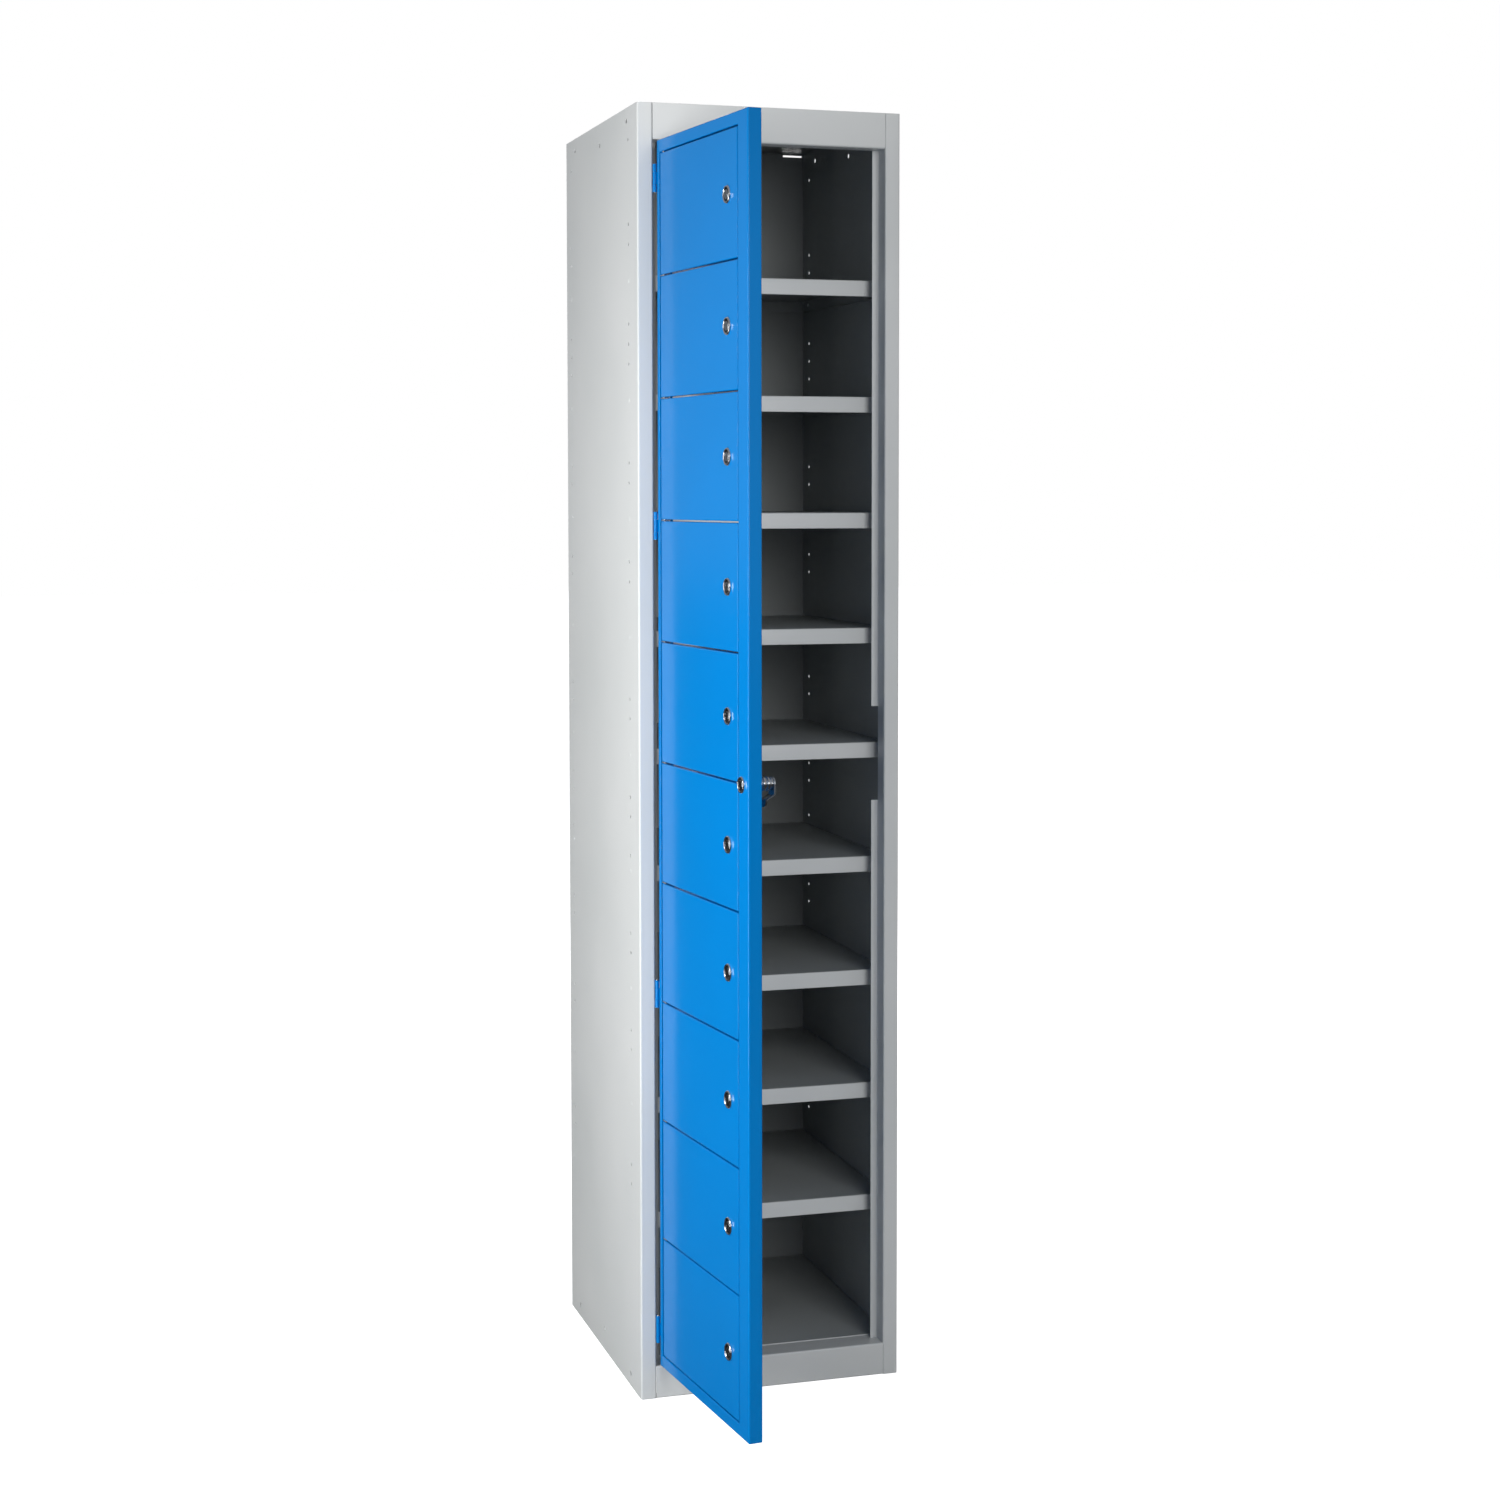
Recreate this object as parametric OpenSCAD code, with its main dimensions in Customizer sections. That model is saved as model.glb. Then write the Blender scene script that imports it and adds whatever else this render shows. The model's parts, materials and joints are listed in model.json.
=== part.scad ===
// Ten-compartment steel locker: one master door carries ten small lockable doors.
// Origin: on the floor, centre of the carcass footprint. +X right, +Y to the back, +Z up.
// It is drawn with the master door swung open and every small door shut.

/* [Carcass] */
// Overall width of the carcass
body_w = 380; // [340:5:450]
// Overall depth of the carcass
body_d = 450; // [400:5:600]
// Overall height of the carcass
body_h = 1800; // [1780:5:1900]
// Thickness of the folded steel sheet
sheet = 1; // [0.8:0.1:1.2]
// Width of the front flange of a side panel
flange_w = 22; // [20:1:26]
// Depth of the recess that the master door closes into
rebate_d = 27; // [25:0.5:29]
// Width of the lip that the master door stops against
stop_lip_w = 10; // [8:1:12]
// Height of the header above the door opening
header_h = 49.5; // [48:0.5:55]
// Height of the plinth below the door opening
plinth_h = 46; // [44:1:50]
// Distance from the front to the floor panel's front edge
floor_setback = 40; // [32:1:60]

/* [Shelves] */
// Number of shelves
shelf_count = 9; // [9:1:9]
// Height of the top face of the highest shelf
top_shelf_z = 1570; // [1565:1:1575]
// Distance from shelf to shelf
shelf_pitch = 164.8; // [164:0.1:166]
// Distance from the front to the shelf's front lip
shelf_setback = 46; // [45:0.5:50]
// Height of the shelf's front lip
shelf_lip_h = 22.4; // [18:0.2:26]
// Height of the side and rear turn-downs of a shelf
shelf_flange_h = 18; // [14:1:22]

/* [Side panel holes] */
// Diameter of the holes that bolt one locker to the next
nest_hole_d = 7; // [6:0.5:9]
// Spacing of the corner nesting holes, front to back
nest_span_y = 326; // [300:2:350]
// Spacing of the corner nesting holes, bottom to top
nest_span_z = 1764; // [1740:2:1770]
// Spacing of the two middle nesting holes
nest_mid_span_z = 1738; // [1700:2:1745]
// Diameter of a spare shelf hole
shelf_hole_d = 5; // [4:0.5:6]
// Distance from the front to the front column of shelf holes
hole_front_y = 52; // [51:1:60]
// Distance from the front to the rear column of shelf holes
hole_rear_y = 418; // [400:1:420]
// Spacing of a pair of spare shelf holes
hole_pitch = 27.5; // [25:0.5:30]
// Diameter of the floor fixing holes in the foot flanges
foot_hole_d = 7; // [6:0.5:9]
// Spacing of the floor fixing holes, front to back
foot_span_y = 360; // [300:5:370]

/* [Master door] */
// How far the master door stands open
open_angle = 84.2; // [0:0.1:110]
// Gap between the side panel and the door on the hinge side
hinge_gap = 4.4; // [4.4:0.1:5]
// Width of the master door
door_w = 329.3; // [326:0.1:330]
// Depth of the master door
door_t = 19.3; // [18.5:0.1:20]
// Gap above and below the master door
door_gap = 2; // [1.5:0.5:3]
// Width of the frame on the hinge side
hinge_stile_w = 8.5; // [8.5:0.1:9]
// Width of the frame on the lock side
lock_stile_w = 33.2; // [33:0.1:34]
// Height of the frame's top rail
top_rail_h = 16.9; // [15:0.1:20]
// Height of the frame's bottom rail
bottom_rail_h = 16.4; // [15:0.1:20]
// Depth of the stop that the small doors close against
stop_depth = 14.5; // [14.5:0.1:15]
// Width of the stop that the small doors close against
stop_w = 10; // [8:1:12]

/* [Small doors] */
// Number of small doors
small_count = 10; // [10:1:10]
// Gap above, below and on the lock side of each small door
small_gap = 2.2; // [2.2:0.1:2.6]
// Gap on the hinge side of each small door
pivot_side_gap = 5.2; // [3:0.1:5.2]
// Depth of a small door's folded edges
small_t = 13; // [11:0.5:13]
// Width of the lip folded inwards at a small door's back
small_lip_w = 8; // [6:1:10]
// Pivot axis behind the small door's face, and the same in from its edge
pivot_inset = 4.1; // [4:0.05:4.2]
// Diameter of a pivot pin
pivot_d = 4; // [3:0.5:4]
// Length of a pivot pin
pivot_len = 12; // [10:1:14]

/* [Hinges] */
// Height of one master door hinge
hinge_h = 38; // [34:1:44]
// Radius of a hinge knuckle
knuckle_r = 2.6; // [2.4:0.05:2.6]
// Radius of a hinge pin
hinge_pin_r = 1.2; // [1:0.1:1.3]
// How far the hinge axis stands in front of the door
hinge_proud = 2; // [2:0.1:2.3]
// Distance of the outer hinges from the door's mid-height
hinge_outer = 799; // [780:1:805]
// Distance of the inner hinges from the door's mid-height
hinge_inner = 325; // [300:1:350]

/* [Locks] */
// Diameter of a small lock's head
small_head_d = 23.5; // [22:0.5:25]
// Diameter of the master lock's head
master_head_d = 22; // [21:0.5:23]
// How far a lock head stands proud of the door
head_h = 2.6; // [2:0.1:4]
// Diameter of a threaded lock barrel
barrel_d = 18; // [17:0.5:18]
// Diameter of the turning plug
plug_d = 13; // [11:0.5:14]
// Length of a small lock's barrel behind the door's face
small_barrel_len = 19.8; // [19.8:0.1:20.5]
// Length of the master lock's barrel behind the door's face
master_barrel_len = 40; // [38:0.5:41]
// Distance of the small locks from the master door's hinge edge
small_lock_s = 261.2; // [255:0.1:265]
// Distance of the master lock from the master door's hinge edge
master_lock_s = 307.6; // [306:0.1:309]
// Length of a small lock's cam from its axis
small_cam_len = 41; // [40:0.5:43]
// Length of the master lock's cam from its axis
master_cam_len = 30; // [29:0.5:31]
// Height of the gap in the right stop lip, beside the master lock
notch_h = 135; // [110:1:150]

/* [Hidden] */
$fn = 48;
carcass_grey = "#cfd3d6";
door_blue = "#0a7fd6";
chrome = "#dfe3e6";
zinc = "#b4bac0";
run_clear = 0.05;
side_clear = 0.2;
tiny = 0.01;

// Carcass frame
left = -body_w / 2;
front = -body_d / 2;
rear = body_d / 2;
open_l = left + flange_w;
open_r = -open_l;
open_bottom = plinth_h;
open_top = body_h - header_h;
inner_l = left + sheet + side_clear;
inner_r = -inner_l;
back_y = rear - 2 * sheet;
rear_flange_w = 15;
foot_flange_w = 19;
foot_hole_inset = 11;
floor_flange_h = 20;
shelf_rear = back_y - 2.5;
shelf_return = 8;

// Shelf rivets
rivet_r = 1.95;
rivet_hole_r = rivet_r + run_clear;
rivet_head_r = 3.4;
rivet_head_h = 0.6;
rivet_tail_h = 1;
rivet_drop = 8;

// Master door, drawn shut and then swung about the hinge axis.
// s runs from the hinge edge to the free edge, d runs from the face to the back.
door_x = open_l + hinge_gap;
door_bottom = open_bottom + door_gap;
door_top = open_top - door_gap;
door_mid = (door_bottom + door_top) / 2;
axis_x = open_l + hinge_gap / 2;
axis_y = front - hinge_proud;
seam_top = door_top - top_rail_h - small_gap / 2;
seam_bottom = door_bottom + bottom_rail_h + small_gap / 2;
small_pitch = (seam_top - seam_bottom) / small_count;
small_s0 = hinge_stile_w + pivot_side_gap;
small_s1 = door_w - lock_stile_w - small_gap;
pivot_s = small_s0 + pivot_inset;
hinge_zs = [for (o = [-hinge_outer, -hinge_inner, hinge_inner, hinge_outer]) door_mid + o];
side_knuckle_h = 10;
knuckle_gap = 0.35;
leaf_t = 1.2;
leaf_y0 = 1.2;
fixed_leaf_w = 19;
moving_leaf_w = 16.5;

// Pivot plates between the small doors
plate_t = 1.5;
plate_d0 = 1.3;
plate_d1 = 10;
plate_reach = 6;

// Locks
nut_t = 4;
small_nut_r = 12;
master_nut_r = 10;
cam_gap = 0.4;
small_cam_t = 2.4;
small_cam_w = 16;
master_cam_t = 3;
master_cam_w = 18;
master_lock_z = door_mid - 1.2;
crank_drop = 11.6;
crank_r0 = 12.5;
crank_r1 = 21.5;
end_screw_r = 4.5;
end_screw_h = 3;
key_slot_w = 1.6;
key_slot_h = 8;
key_slot_depth = 5;

// Slot at the top right corner of the back
slot_w = 31;
slot_h = 2.8;
slot_x = inner_r - 33;
slot_top = body_h - sheet - 2.2;

function shelf_z(i) = top_shelf_z - (i - 1) * shelf_pitch;
function seam_z(i) = seam_top - i * small_pitch;
function small_lock_z(i) = (seam_z(i - 1) + seam_z(i)) / 2;

// A box between two corners
module span(lo, hi) {
  translate(lo) cube(hi - lo);
}

// A straight hole or pin along X
module rod_x(x0, x1, y, z, r) {
  translate([x0, y, z]) rotate([0, 90, 0]) cylinder(h = x1 - x0, r = r);
}

// A cylinder along the door's depth, from d0 to d1
module rod_d(s, z, d0, d1, r) {
  translate([door_x + s, front + d0, z]) rotate([-90, 0, 0]) cylinder(h = d1 - d0, r = r);
}

// A box in the master door's own coordinates
module door_span(s, d, z) {
  span([door_x + s[0], front + d[0], z[0]], [door_x + s[1], front + d[1], z[1]]);
}

// Swings what is drawn shut about the master hinge axis
module swung() {
  translate([axis_x, axis_y, 0]) rotate([0, 0, -open_angle]) translate([-axis_x, -axis_y, 0])
    children();
}

// Heights of the spare shelf holes: a pair in each compartment above a shelf,
// set one step higher in every second one, and three single ones
spare_hole_zs = concat(
  [for (i = [1:shelf_count]) for (k = [0, 1])
    shelf_z(i) + 42 + (i % 2 == 0 ? hole_pitch : 0) + k * hole_pitch],
  [shelf_z(1) + 185.6, shelf_z(2) + 42, shelf_z(6) + 42 - hole_pitch]);

// Holes through a left-hand side panel
module side_holes() {
  for (z = spare_hole_zs, y = [hole_front_y, hole_rear_y])
    rod_x(left - 1, left + sheet + 1, front + y, z, shelf_hole_d / 2);
  for (i = [1:shelf_count], y = [hole_front_y, hole_rear_y])
    rod_x(left - 1, left + sheet + 1, front + y, shelf_z(i) - rivet_drop, rivet_hole_r);
  for (y = [-1, 1], z = [-1, 1])
    rod_x(left - 1, left + sheet + 1, y * nest_span_y / 2, body_h / 2 + z * nest_span_z / 2,
          nest_hole_d / 2);
  for (z = [-1, 1])
    rod_x(left - 1, left + sheet + 1, 0, body_h / 2 + z * nest_mid_span_z / 2, nest_hole_d / 2);
  for (y = [-1, 1])
    translate([left + foot_hole_inset, y * foot_span_y / 2, -1])
      cylinder(h = sheet + 2, d = foot_hole_d);
}

// One folded side panel, drawn for the left: wall, front flange, door recess, stop lip,
// rear flange and foot flange
module side_panel() {
  difference() {
    union() {
      span([left, front, 0], [left + sheet, rear, body_h]);
      span([left, front, 0], [open_l, front + sheet, body_h]);
      span([open_l - sheet, front, 0], [open_l, front + rebate_d, body_h - sheet]);
      span([open_l - sheet, front + rebate_d - sheet, open_bottom],
           [open_l + stop_lip_w, front + rebate_d, open_top]);
      span([left, rear - sheet, 0], [left + rear_flange_w, rear, body_h]);
      span([left, front, 0], [left + foot_flange_w, rear, sheet]);
    }
    side_holes();
  }
}

module side_panel_left() {
  color(carcass_grey) side_panel();
}

// The right side panel has a gap in its stop lip beside the master lock, and the back's
// slot runs on into its rear flange
module side_panel_right() {
  color(carcass_grey) difference() {
    mirror([1, 0, 0]) side_panel();
    span([open_r - stop_lip_w - 1, front + rebate_d - sheet - 1, master_lock_z - notch_h / 2],
         [open_r - tiny, front + rebate_d + 1, master_lock_z + notch_h / 2]);
    back_slot();
  }
}

module back_slot() {
  span([slot_x, back_y - 1, slot_top - slot_h], [slot_x + slot_w, rear + 1, slot_top]);
}

module back_panel() {
  color(carcass_grey) difference() {
    span([inner_l, back_y, sheet], [inner_r, back_y + sheet, body_h - sheet]);
    back_slot();
  }
}

module top_panel() {
  color(carcass_grey)
    span([left + sheet, front + sheet, body_h - sheet], [-left - sheet, rear - sheet, body_h]);
}

module header() {
  color(carcass_grey) union() {
    span([open_l, front, open_top], [open_r, front + sheet, body_h]);
    span([open_l, front, open_top], [open_r, front + rebate_d, open_top + sheet]);
  }
}

module plinth() {
  color(carcass_grey) union() {
    span([open_l, front, 0], [open_r, front + sheet, plinth_h]);
    span([open_l, front, plinth_h - sheet], [open_r, front + floor_setback + 2, plinth_h]);
    span([open_l, front, 0], [open_r, front + foot_flange_w, sheet]);
  }
}

module floor_panel() {
  z1 = plinth_h + sheet;
  z0 = z1 - floor_flange_h;
  y0 = front + floor_setback;
  color(carcass_grey) union() {
    span([inner_l, y0, plinth_h], [inner_r, shelf_rear, z1]);
    for (x = [inner_l, inner_r - sheet])
      span([x, y0 + 3, z0], [x + sheet, shelf_rear, z1]);
    span([inner_l, shelf_rear - sheet, z0], [inner_r, shelf_rear, z1]);
  }
}

// One shelf: sheet, front lip with its return, side flanges and rear flange
module shelf(i) {
  z1 = shelf_z(i);
  y0 = front + shelf_setback;
  color(carcass_grey) difference() {
    union() {
      span([inner_l, y0, z1 - sheet], [inner_r, shelf_rear, z1]);
      span([inner_l, y0, z1 - shelf_lip_h], [inner_r, y0 + sheet, z1]);
      span([inner_l, y0, z1 - shelf_lip_h],
           [inner_r, y0 + shelf_return, z1 - shelf_lip_h + sheet]);
      for (x = [inner_l, inner_r - sheet])
        span([x, y0, z1 - shelf_flange_h], [x + sheet, shelf_rear, z1]);
      span([inner_l, shelf_rear - sheet, z1 - shelf_flange_h], [inner_r, shelf_rear, z1]);
    }
    for (y = [hole_front_y, hole_rear_y]) {
      rod_x(inner_l - 1, inner_l + sheet + 1, front + y, z1 - rivet_drop, rivet_hole_r);
      rod_x(inner_r - sheet - 1, inner_r + 1, front + y, z1 - rivet_drop, rivet_hole_r);
    }
  }
}

// One rivet through the left wall and a shelf flange, drawn along X
module shelf_rivet() {
  tail = inner_l + sheet - left;
  rotate([0, 90, 0]) union() {
    cylinder(h = tail + rivet_tail_h, r = rivet_r);
    translate([0, 0, -rivet_head_h]) cylinder(h = rivet_head_h, r = rivet_head_r);
    translate([0, 0, tail]) cylinder(h = rivet_tail_h, r = rivet_r + 0.8);
  }
}

module shelf_rivets() {
  color(zinc) for (m = [0, 1], i = [1:shelf_count], y = [hole_front_y, hole_rear_y])
    mirror([m, 0, 0]) translate([left, front + y, shelf_z(i) - rivet_drop]) shelf_rivet();
}

// A knuckle about the hinge axis, joined to a leaf. side is -1 on the carcass, +1 on the door.
module knuckle(z0, z1, side) {
  leaf_x = side < 0 ? open_l : door_x - leaf_t;
  union() {
    translate([axis_x, axis_y, z0]) cylinder(h = z1 - z0, r = knuckle_r);
    span([leaf_x, axis_y, z0], [leaf_x + leaf_t, front + leaf_y0 + 1, z1]);
  }
}

// The bore for the hinge pin
module hinge_bore(z) {
  translate([axis_x, axis_y, z - hinge_h / 2 - 1])
    cylinder(h = hinge_h + 2, r = hinge_pin_r + run_clear);
}

// The leaf on the carcass carries the two outer knuckles
module hinge_leaves_fixed() {
  color(door_blue) for (z = hinge_zs) difference() {
    union() {
      knuckle(z - hinge_h / 2, z - hinge_h / 2 + side_knuckle_h, -1);
      knuckle(z + hinge_h / 2 - side_knuckle_h, z + hinge_h / 2, -1);
      span([open_l, front + leaf_y0, z - hinge_h / 2],
           [open_l + leaf_t, front + leaf_y0 + fixed_leaf_w, z + hinge_h / 2]);
    }
    hinge_bore(z);
  }
}

// The leaf on the door carries the middle knuckle
module hinge_leaves_moving() {
  z_in = hinge_h / 2 - side_knuckle_h - knuckle_gap;
  color(door_blue) swung() for (z = hinge_zs) difference() {
    union() {
      knuckle(z - z_in, z + z_in, 1);
      span([door_x - leaf_t, front + leaf_y0, z - hinge_h / 2],
           [door_x, front + leaf_y0 + moving_leaf_w, z + hinge_h / 2]);
    }
    hinge_bore(z);
  }
}

// A headed pin through each hinge
module hinge_pins() {
  head_h2 = 1;
  color(zinc) for (z = hinge_zs) translate([axis_x, axis_y, z - hinge_h / 2 - 0.5]) union() {
    cylinder(h = hinge_h + 1, r = hinge_pin_r);
    translate([0, 0, hinge_h + 0.6]) cylinder(h = head_h2, r = knuckle_r - 0.4);
  }
}

// Upright on the hinge side: face, outer edge, back lip, inner edge and small-door stop
module master_hinge_stile() {
  z = [door_bottom, door_top];
  z_stop = [door_bottom + bottom_rail_h, door_top - top_rail_h];
  w = hinge_stile_w;
  color(door_blue) swung() union() {
    door_span([0, w], [0, sheet], z);
    door_span([0, sheet], [0, door_t], z);
    door_span([0, w - 2], [door_t - sheet, door_t], z);
    door_span([w - sheet, w], [0, stop_depth + sheet], z);
    door_span([w - sheet, w + stop_w], [stop_depth, stop_depth + sheet], z_stop);
  }
}

// Upright on the lock side, drilled for the master lock
module master_lock_stile() {
  z = [door_bottom, door_top];
  z_stop = [door_bottom + bottom_rail_h, door_top - top_rail_h];
  s0 = door_w - lock_stile_w;
  color(door_blue) swung() difference() {
    union() {
      door_span([s0, door_w], [0, sheet], z);
      door_span([door_w - sheet, door_w], [0, door_t], z);
      door_span([door_w - 9, door_w], [door_t - sheet, door_t], z);
      door_span([s0, s0 + sheet], [0, stop_depth + sheet], z);
      door_span([s0 - stop_w, s0 + sheet], [stop_depth, stop_depth + sheet], z_stop);
    }
    rod_d(master_lock_s, master_lock_z, -1, sheet + 1, barrel_d / 2 + run_clear);
  }
}

// A rail between the stiles. up is +1 for the top rail and -1 for the bottom rail.
module rail(z_out, z_in, up) {
  s = [hinge_stile_w, door_w - lock_stile_w];
  z_lo = min(z_out, z_in);
  z_hi = max(z_out, z_in);
  edge_in = up > 0 ? [z_in, z_in + sheet] : [z_in - sheet, z_in];
  edge_out = up > 0 ? [z_out - sheet, z_out] : [z_out, z_out + sheet];
  back_lip = up > 0 ? [z_out - 9, z_out] : [z_out, z_out + 9];
  stop = up > 0 ? [z_in - stop_w, z_in + sheet] : [z_in - sheet, z_in + stop_w];
  difference() {
    union() {
      door_span(s, [0, sheet], [z_lo, z_hi]);
      door_span(s, [0, stop_depth + sheet], edge_in);
      door_span(s, [0, door_t], edge_out);
      door_span(s, [door_t - sheet, door_t], back_lip);
      door_span([s[0] + stop_w, s[1] - stop_w], [stop_depth, stop_depth + sheet], stop);
    }
    pivot_rod(z_in - pivot_len, z_in + pivot_len, pivot_d / 2 - tiny);
  }
}

// A cylinder on the small doors' pivot axis
module pivot_rod(z0, z1, r) {
  translate([door_x + pivot_s, front + pivot_inset, z0]) cylinder(h = z1 - z0, r = r);
}

module master_top_rail() {
  color(door_blue) swung() rail(door_top, door_top - top_rail_h, 1);
}

module master_bottom_rail() {
  color(door_blue) swung() rail(door_bottom, door_bottom + bottom_rail_h, -1);
}

// Thin plates in the seams between small doors, welded to the hinge stile
module pivot_plates() {
  color(zinc) swung() for (i = [1:small_count - 1]) difference() {
    door_span([hinge_stile_w, pivot_s + plate_reach], [plate_d0, plate_d1],
              [seam_z(i) - plate_t / 2, seam_z(i) + plate_t / 2]);
    pivot_rod(seam_z(i) - 1, seam_z(i) + 1, pivot_d / 2 - tiny);
  }
}

module pivot_pins() {
  color(zinc) swung() for (i = [0:small_count])
    pivot_rod(seam_z(i) - pivot_len / 2, seam_z(i) + pivot_len / 2, pivot_d / 2);
}

// One small door: a folded tray with pivot holes near its hinge edge and a lock hole
module small_door(i) {
  z0 = seam_z(i) + small_gap / 2;
  z1 = seam_z(i - 1) - small_gap / 2;
  s = [small_s0, small_s1];
  lip = [small_t - sheet, small_t];
  color(door_blue) swung() difference() {
    union() {
      door_span(s, [0, sheet], [z0, z1]);
      door_span([s[0], s[0] + sheet], [0, small_t], [z0, z1]);
      door_span([s[1] - sheet, s[1]], [0, small_t], [z0, z1]);
      door_span(s, [0, small_t], [z0, z0 + sheet]);
      door_span(s, [0, small_t], [z1 - sheet, z1]);
      door_span([s[0], s[0] + small_lip_w], lip, [z0, z1]);
      door_span([s[1] - small_lip_w, s[1]], lip, [z0, z1]);
      door_span(s, lip, [z0, z0 + small_lip_w]);
      door_span(s, lip, [z1 - small_lip_w, z1]);
    }
    pivot_rod(z0 - 1, z1 + 1, pivot_d / 2 + run_clear);
    rod_d(small_lock_s, small_lock_z(i), -1, sheet + 1, barrel_d / 2 + run_clear);
  }
}

// A lock's fixed parts: stepped head, threaded barrel and a separate ring nut behind the sheet
module lock_body(s, z, head_r, barrel_len, nut_r) {
  difference() {
    union() {
      rod_d(s, z, -head_h, 0, head_r - 1);
      rod_d(s, z, -head_h * 0.6, 0, head_r);
      rod_d(s, z, -tiny, barrel_len, barrel_d / 2);
    }
    rod_d(s, z, -head_h - 1, barrel_len + 1, plug_d / 2 + run_clear);
  }
  difference() {
    rod_d(s, z, sheet + 0.05, sheet + nut_t, nut_r);
    rod_d(s, z, sheet - 1, sheet + nut_t + 1, barrel_d / 2 + run_clear);
  }
}

// The plug with its key slot, from the head to the cam
module plug(s, z, length) {
  difference() {
    rod_d(s, z, 0.4 - head_h, length, plug_d / 2);
    translate([door_x + s, front + key_slot_depth / 2 - head_h, z])
      cube([key_slot_w, key_slot_depth, key_slot_h], center = true);
  }
}

// A flat cam that hangs straight down from the plug when unlocked
module flat_cam(s, z, d0, length, width, thick) {
  rod_d(s, z, d0, d0 + thick, width / 2);
  door_span([s - width / 2, s + width / 2], [d0, d0 + thick], [z - length + width / 2, z]);
  rod_d(s, z - length + width / 2, d0, d0 + thick, width / 2);
}

module small_lock_body(i) {
  color(chrome) swung()
    lock_body(small_lock_s, small_lock_z(i), small_head_d / 2, small_barrel_len, small_nut_r);
}

module small_lock_cam(i) {
  z = small_lock_z(i);
  d0 = small_barrel_len + cam_gap;
  d1 = d0 + small_cam_t;
  color(zinc) swung() union() {
    plug(small_lock_s, z, d1);
    flat_cam(small_lock_s, z, d0, small_cam_len, small_cam_w, small_cam_t);
    rod_d(small_lock_s, z, d1 - tiny, d1 + end_screw_h, end_screw_r);
  }
}

// The master lock has a long barrel with a locking collar near its end
module master_lock_body() {
  collar = [[27.6, 30.2], [33.4, 35.4]];
  color(chrome) swung() {
    lock_body(master_lock_s, master_lock_z, master_head_d / 2, master_barrel_len, master_nut_r);
    for (c = collar) difference() {
      rod_d(master_lock_s, master_lock_z, c[0], c[1], barrel_d / 2 + 0.5);
      rod_d(master_lock_s, master_lock_z, c[0] - 1, c[1] + 1, barrel_d / 2 + run_clear);
    }
  }
}

// The master cam steps forward so that its tip hooks behind the edge of the door recess
module master_cam_profile() {
  t = master_cam_t;
  polygon([[0, 0], [-crank_r0, 0], [-crank_r1, -crank_drop], [-master_cam_len, -crank_drop],
           [-master_cam_len, t - crank_drop], [-crank_r1 - 1.2, t - crank_drop],
           [-crank_r0 - 1.2, t], [0, t]]);
}

module master_lock_cam() {
  s = master_lock_s;
  z = master_lock_z;
  d0 = master_barrel_len + cam_gap;
  color(zinc) swung() union() {
    plug(s, z, d0 + master_cam_t);
    rod_d(s, z, d0, d0 + master_cam_t, master_cam_w / 2);
    translate([door_x + s - master_cam_w / 2, front + d0, z]) rotate([0, 90, 0])
      linear_extrude(height = master_cam_w) mirror([1, 0]) master_cam_profile();
    rod_d(s, z, d0 + master_cam_t - tiny, d0 + master_cam_t + 0.8, end_screw_r);
  }
}

side_panel_left();
side_panel_right();
back_panel();
top_panel();
header();
plinth();
floor_panel();
shelf_rivets();
hinge_leaves_fixed();
hinge_pins();
master_hinge_stile();
master_lock_stile();
master_top_rail();
master_bottom_rail();
hinge_leaves_moving();
pivot_plates();
pivot_pins();
master_lock_body();
master_lock_cam();
for (i = [1:shelf_count])
  shelf(i);
for (i = [1:small_count]) {
  small_door(i);
  small_lock_body(i);
  small_lock_cam(i);
}
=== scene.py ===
"""Looks of a ten-compartment steel locker.

One master door, hinged on the left, carries ten small doors, each with its own cam lock.
The carcass is folded from light grey powder-coated sheet and the doors from blue.
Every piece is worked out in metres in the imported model's frame: +X right, +Y back, +Z up.
"""

import json
import logging
from collections.abc import Callable, Iterable
from dataclasses import dataclass, field
from enum import Enum

import bmesh
import bpy
import numpy as np
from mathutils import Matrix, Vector


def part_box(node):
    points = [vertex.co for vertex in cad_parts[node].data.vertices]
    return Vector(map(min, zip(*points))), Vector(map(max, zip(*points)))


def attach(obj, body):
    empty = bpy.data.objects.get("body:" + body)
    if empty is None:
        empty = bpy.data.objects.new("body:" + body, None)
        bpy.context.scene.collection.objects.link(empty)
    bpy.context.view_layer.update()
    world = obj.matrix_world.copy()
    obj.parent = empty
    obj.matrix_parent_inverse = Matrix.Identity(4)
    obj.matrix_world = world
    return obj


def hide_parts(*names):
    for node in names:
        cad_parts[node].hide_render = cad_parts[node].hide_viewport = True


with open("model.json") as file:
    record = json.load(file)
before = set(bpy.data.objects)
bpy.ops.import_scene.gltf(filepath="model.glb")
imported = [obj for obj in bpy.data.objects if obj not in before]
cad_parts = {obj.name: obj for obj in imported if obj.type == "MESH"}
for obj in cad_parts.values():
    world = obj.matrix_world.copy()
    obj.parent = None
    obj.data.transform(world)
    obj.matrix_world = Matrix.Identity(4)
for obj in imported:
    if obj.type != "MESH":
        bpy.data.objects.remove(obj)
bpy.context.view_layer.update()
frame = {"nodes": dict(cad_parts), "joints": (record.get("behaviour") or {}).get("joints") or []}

LOG = logging.getLogger("locker")
MM = 0.001
SHARP_ANGLE = np.radians(35.0)
SMALL_DOORS = 10
# How far a cutter reaches past what it cuts, and the run of one that cuts a sheet at zero
OVERSHOOT = 1.0 * MM
THROUGH = (-3.0 * MM, 3.0 * MM)
# Points round a turned piece that is seen close up
FINE_STEPS = 48


# Finishes


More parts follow.
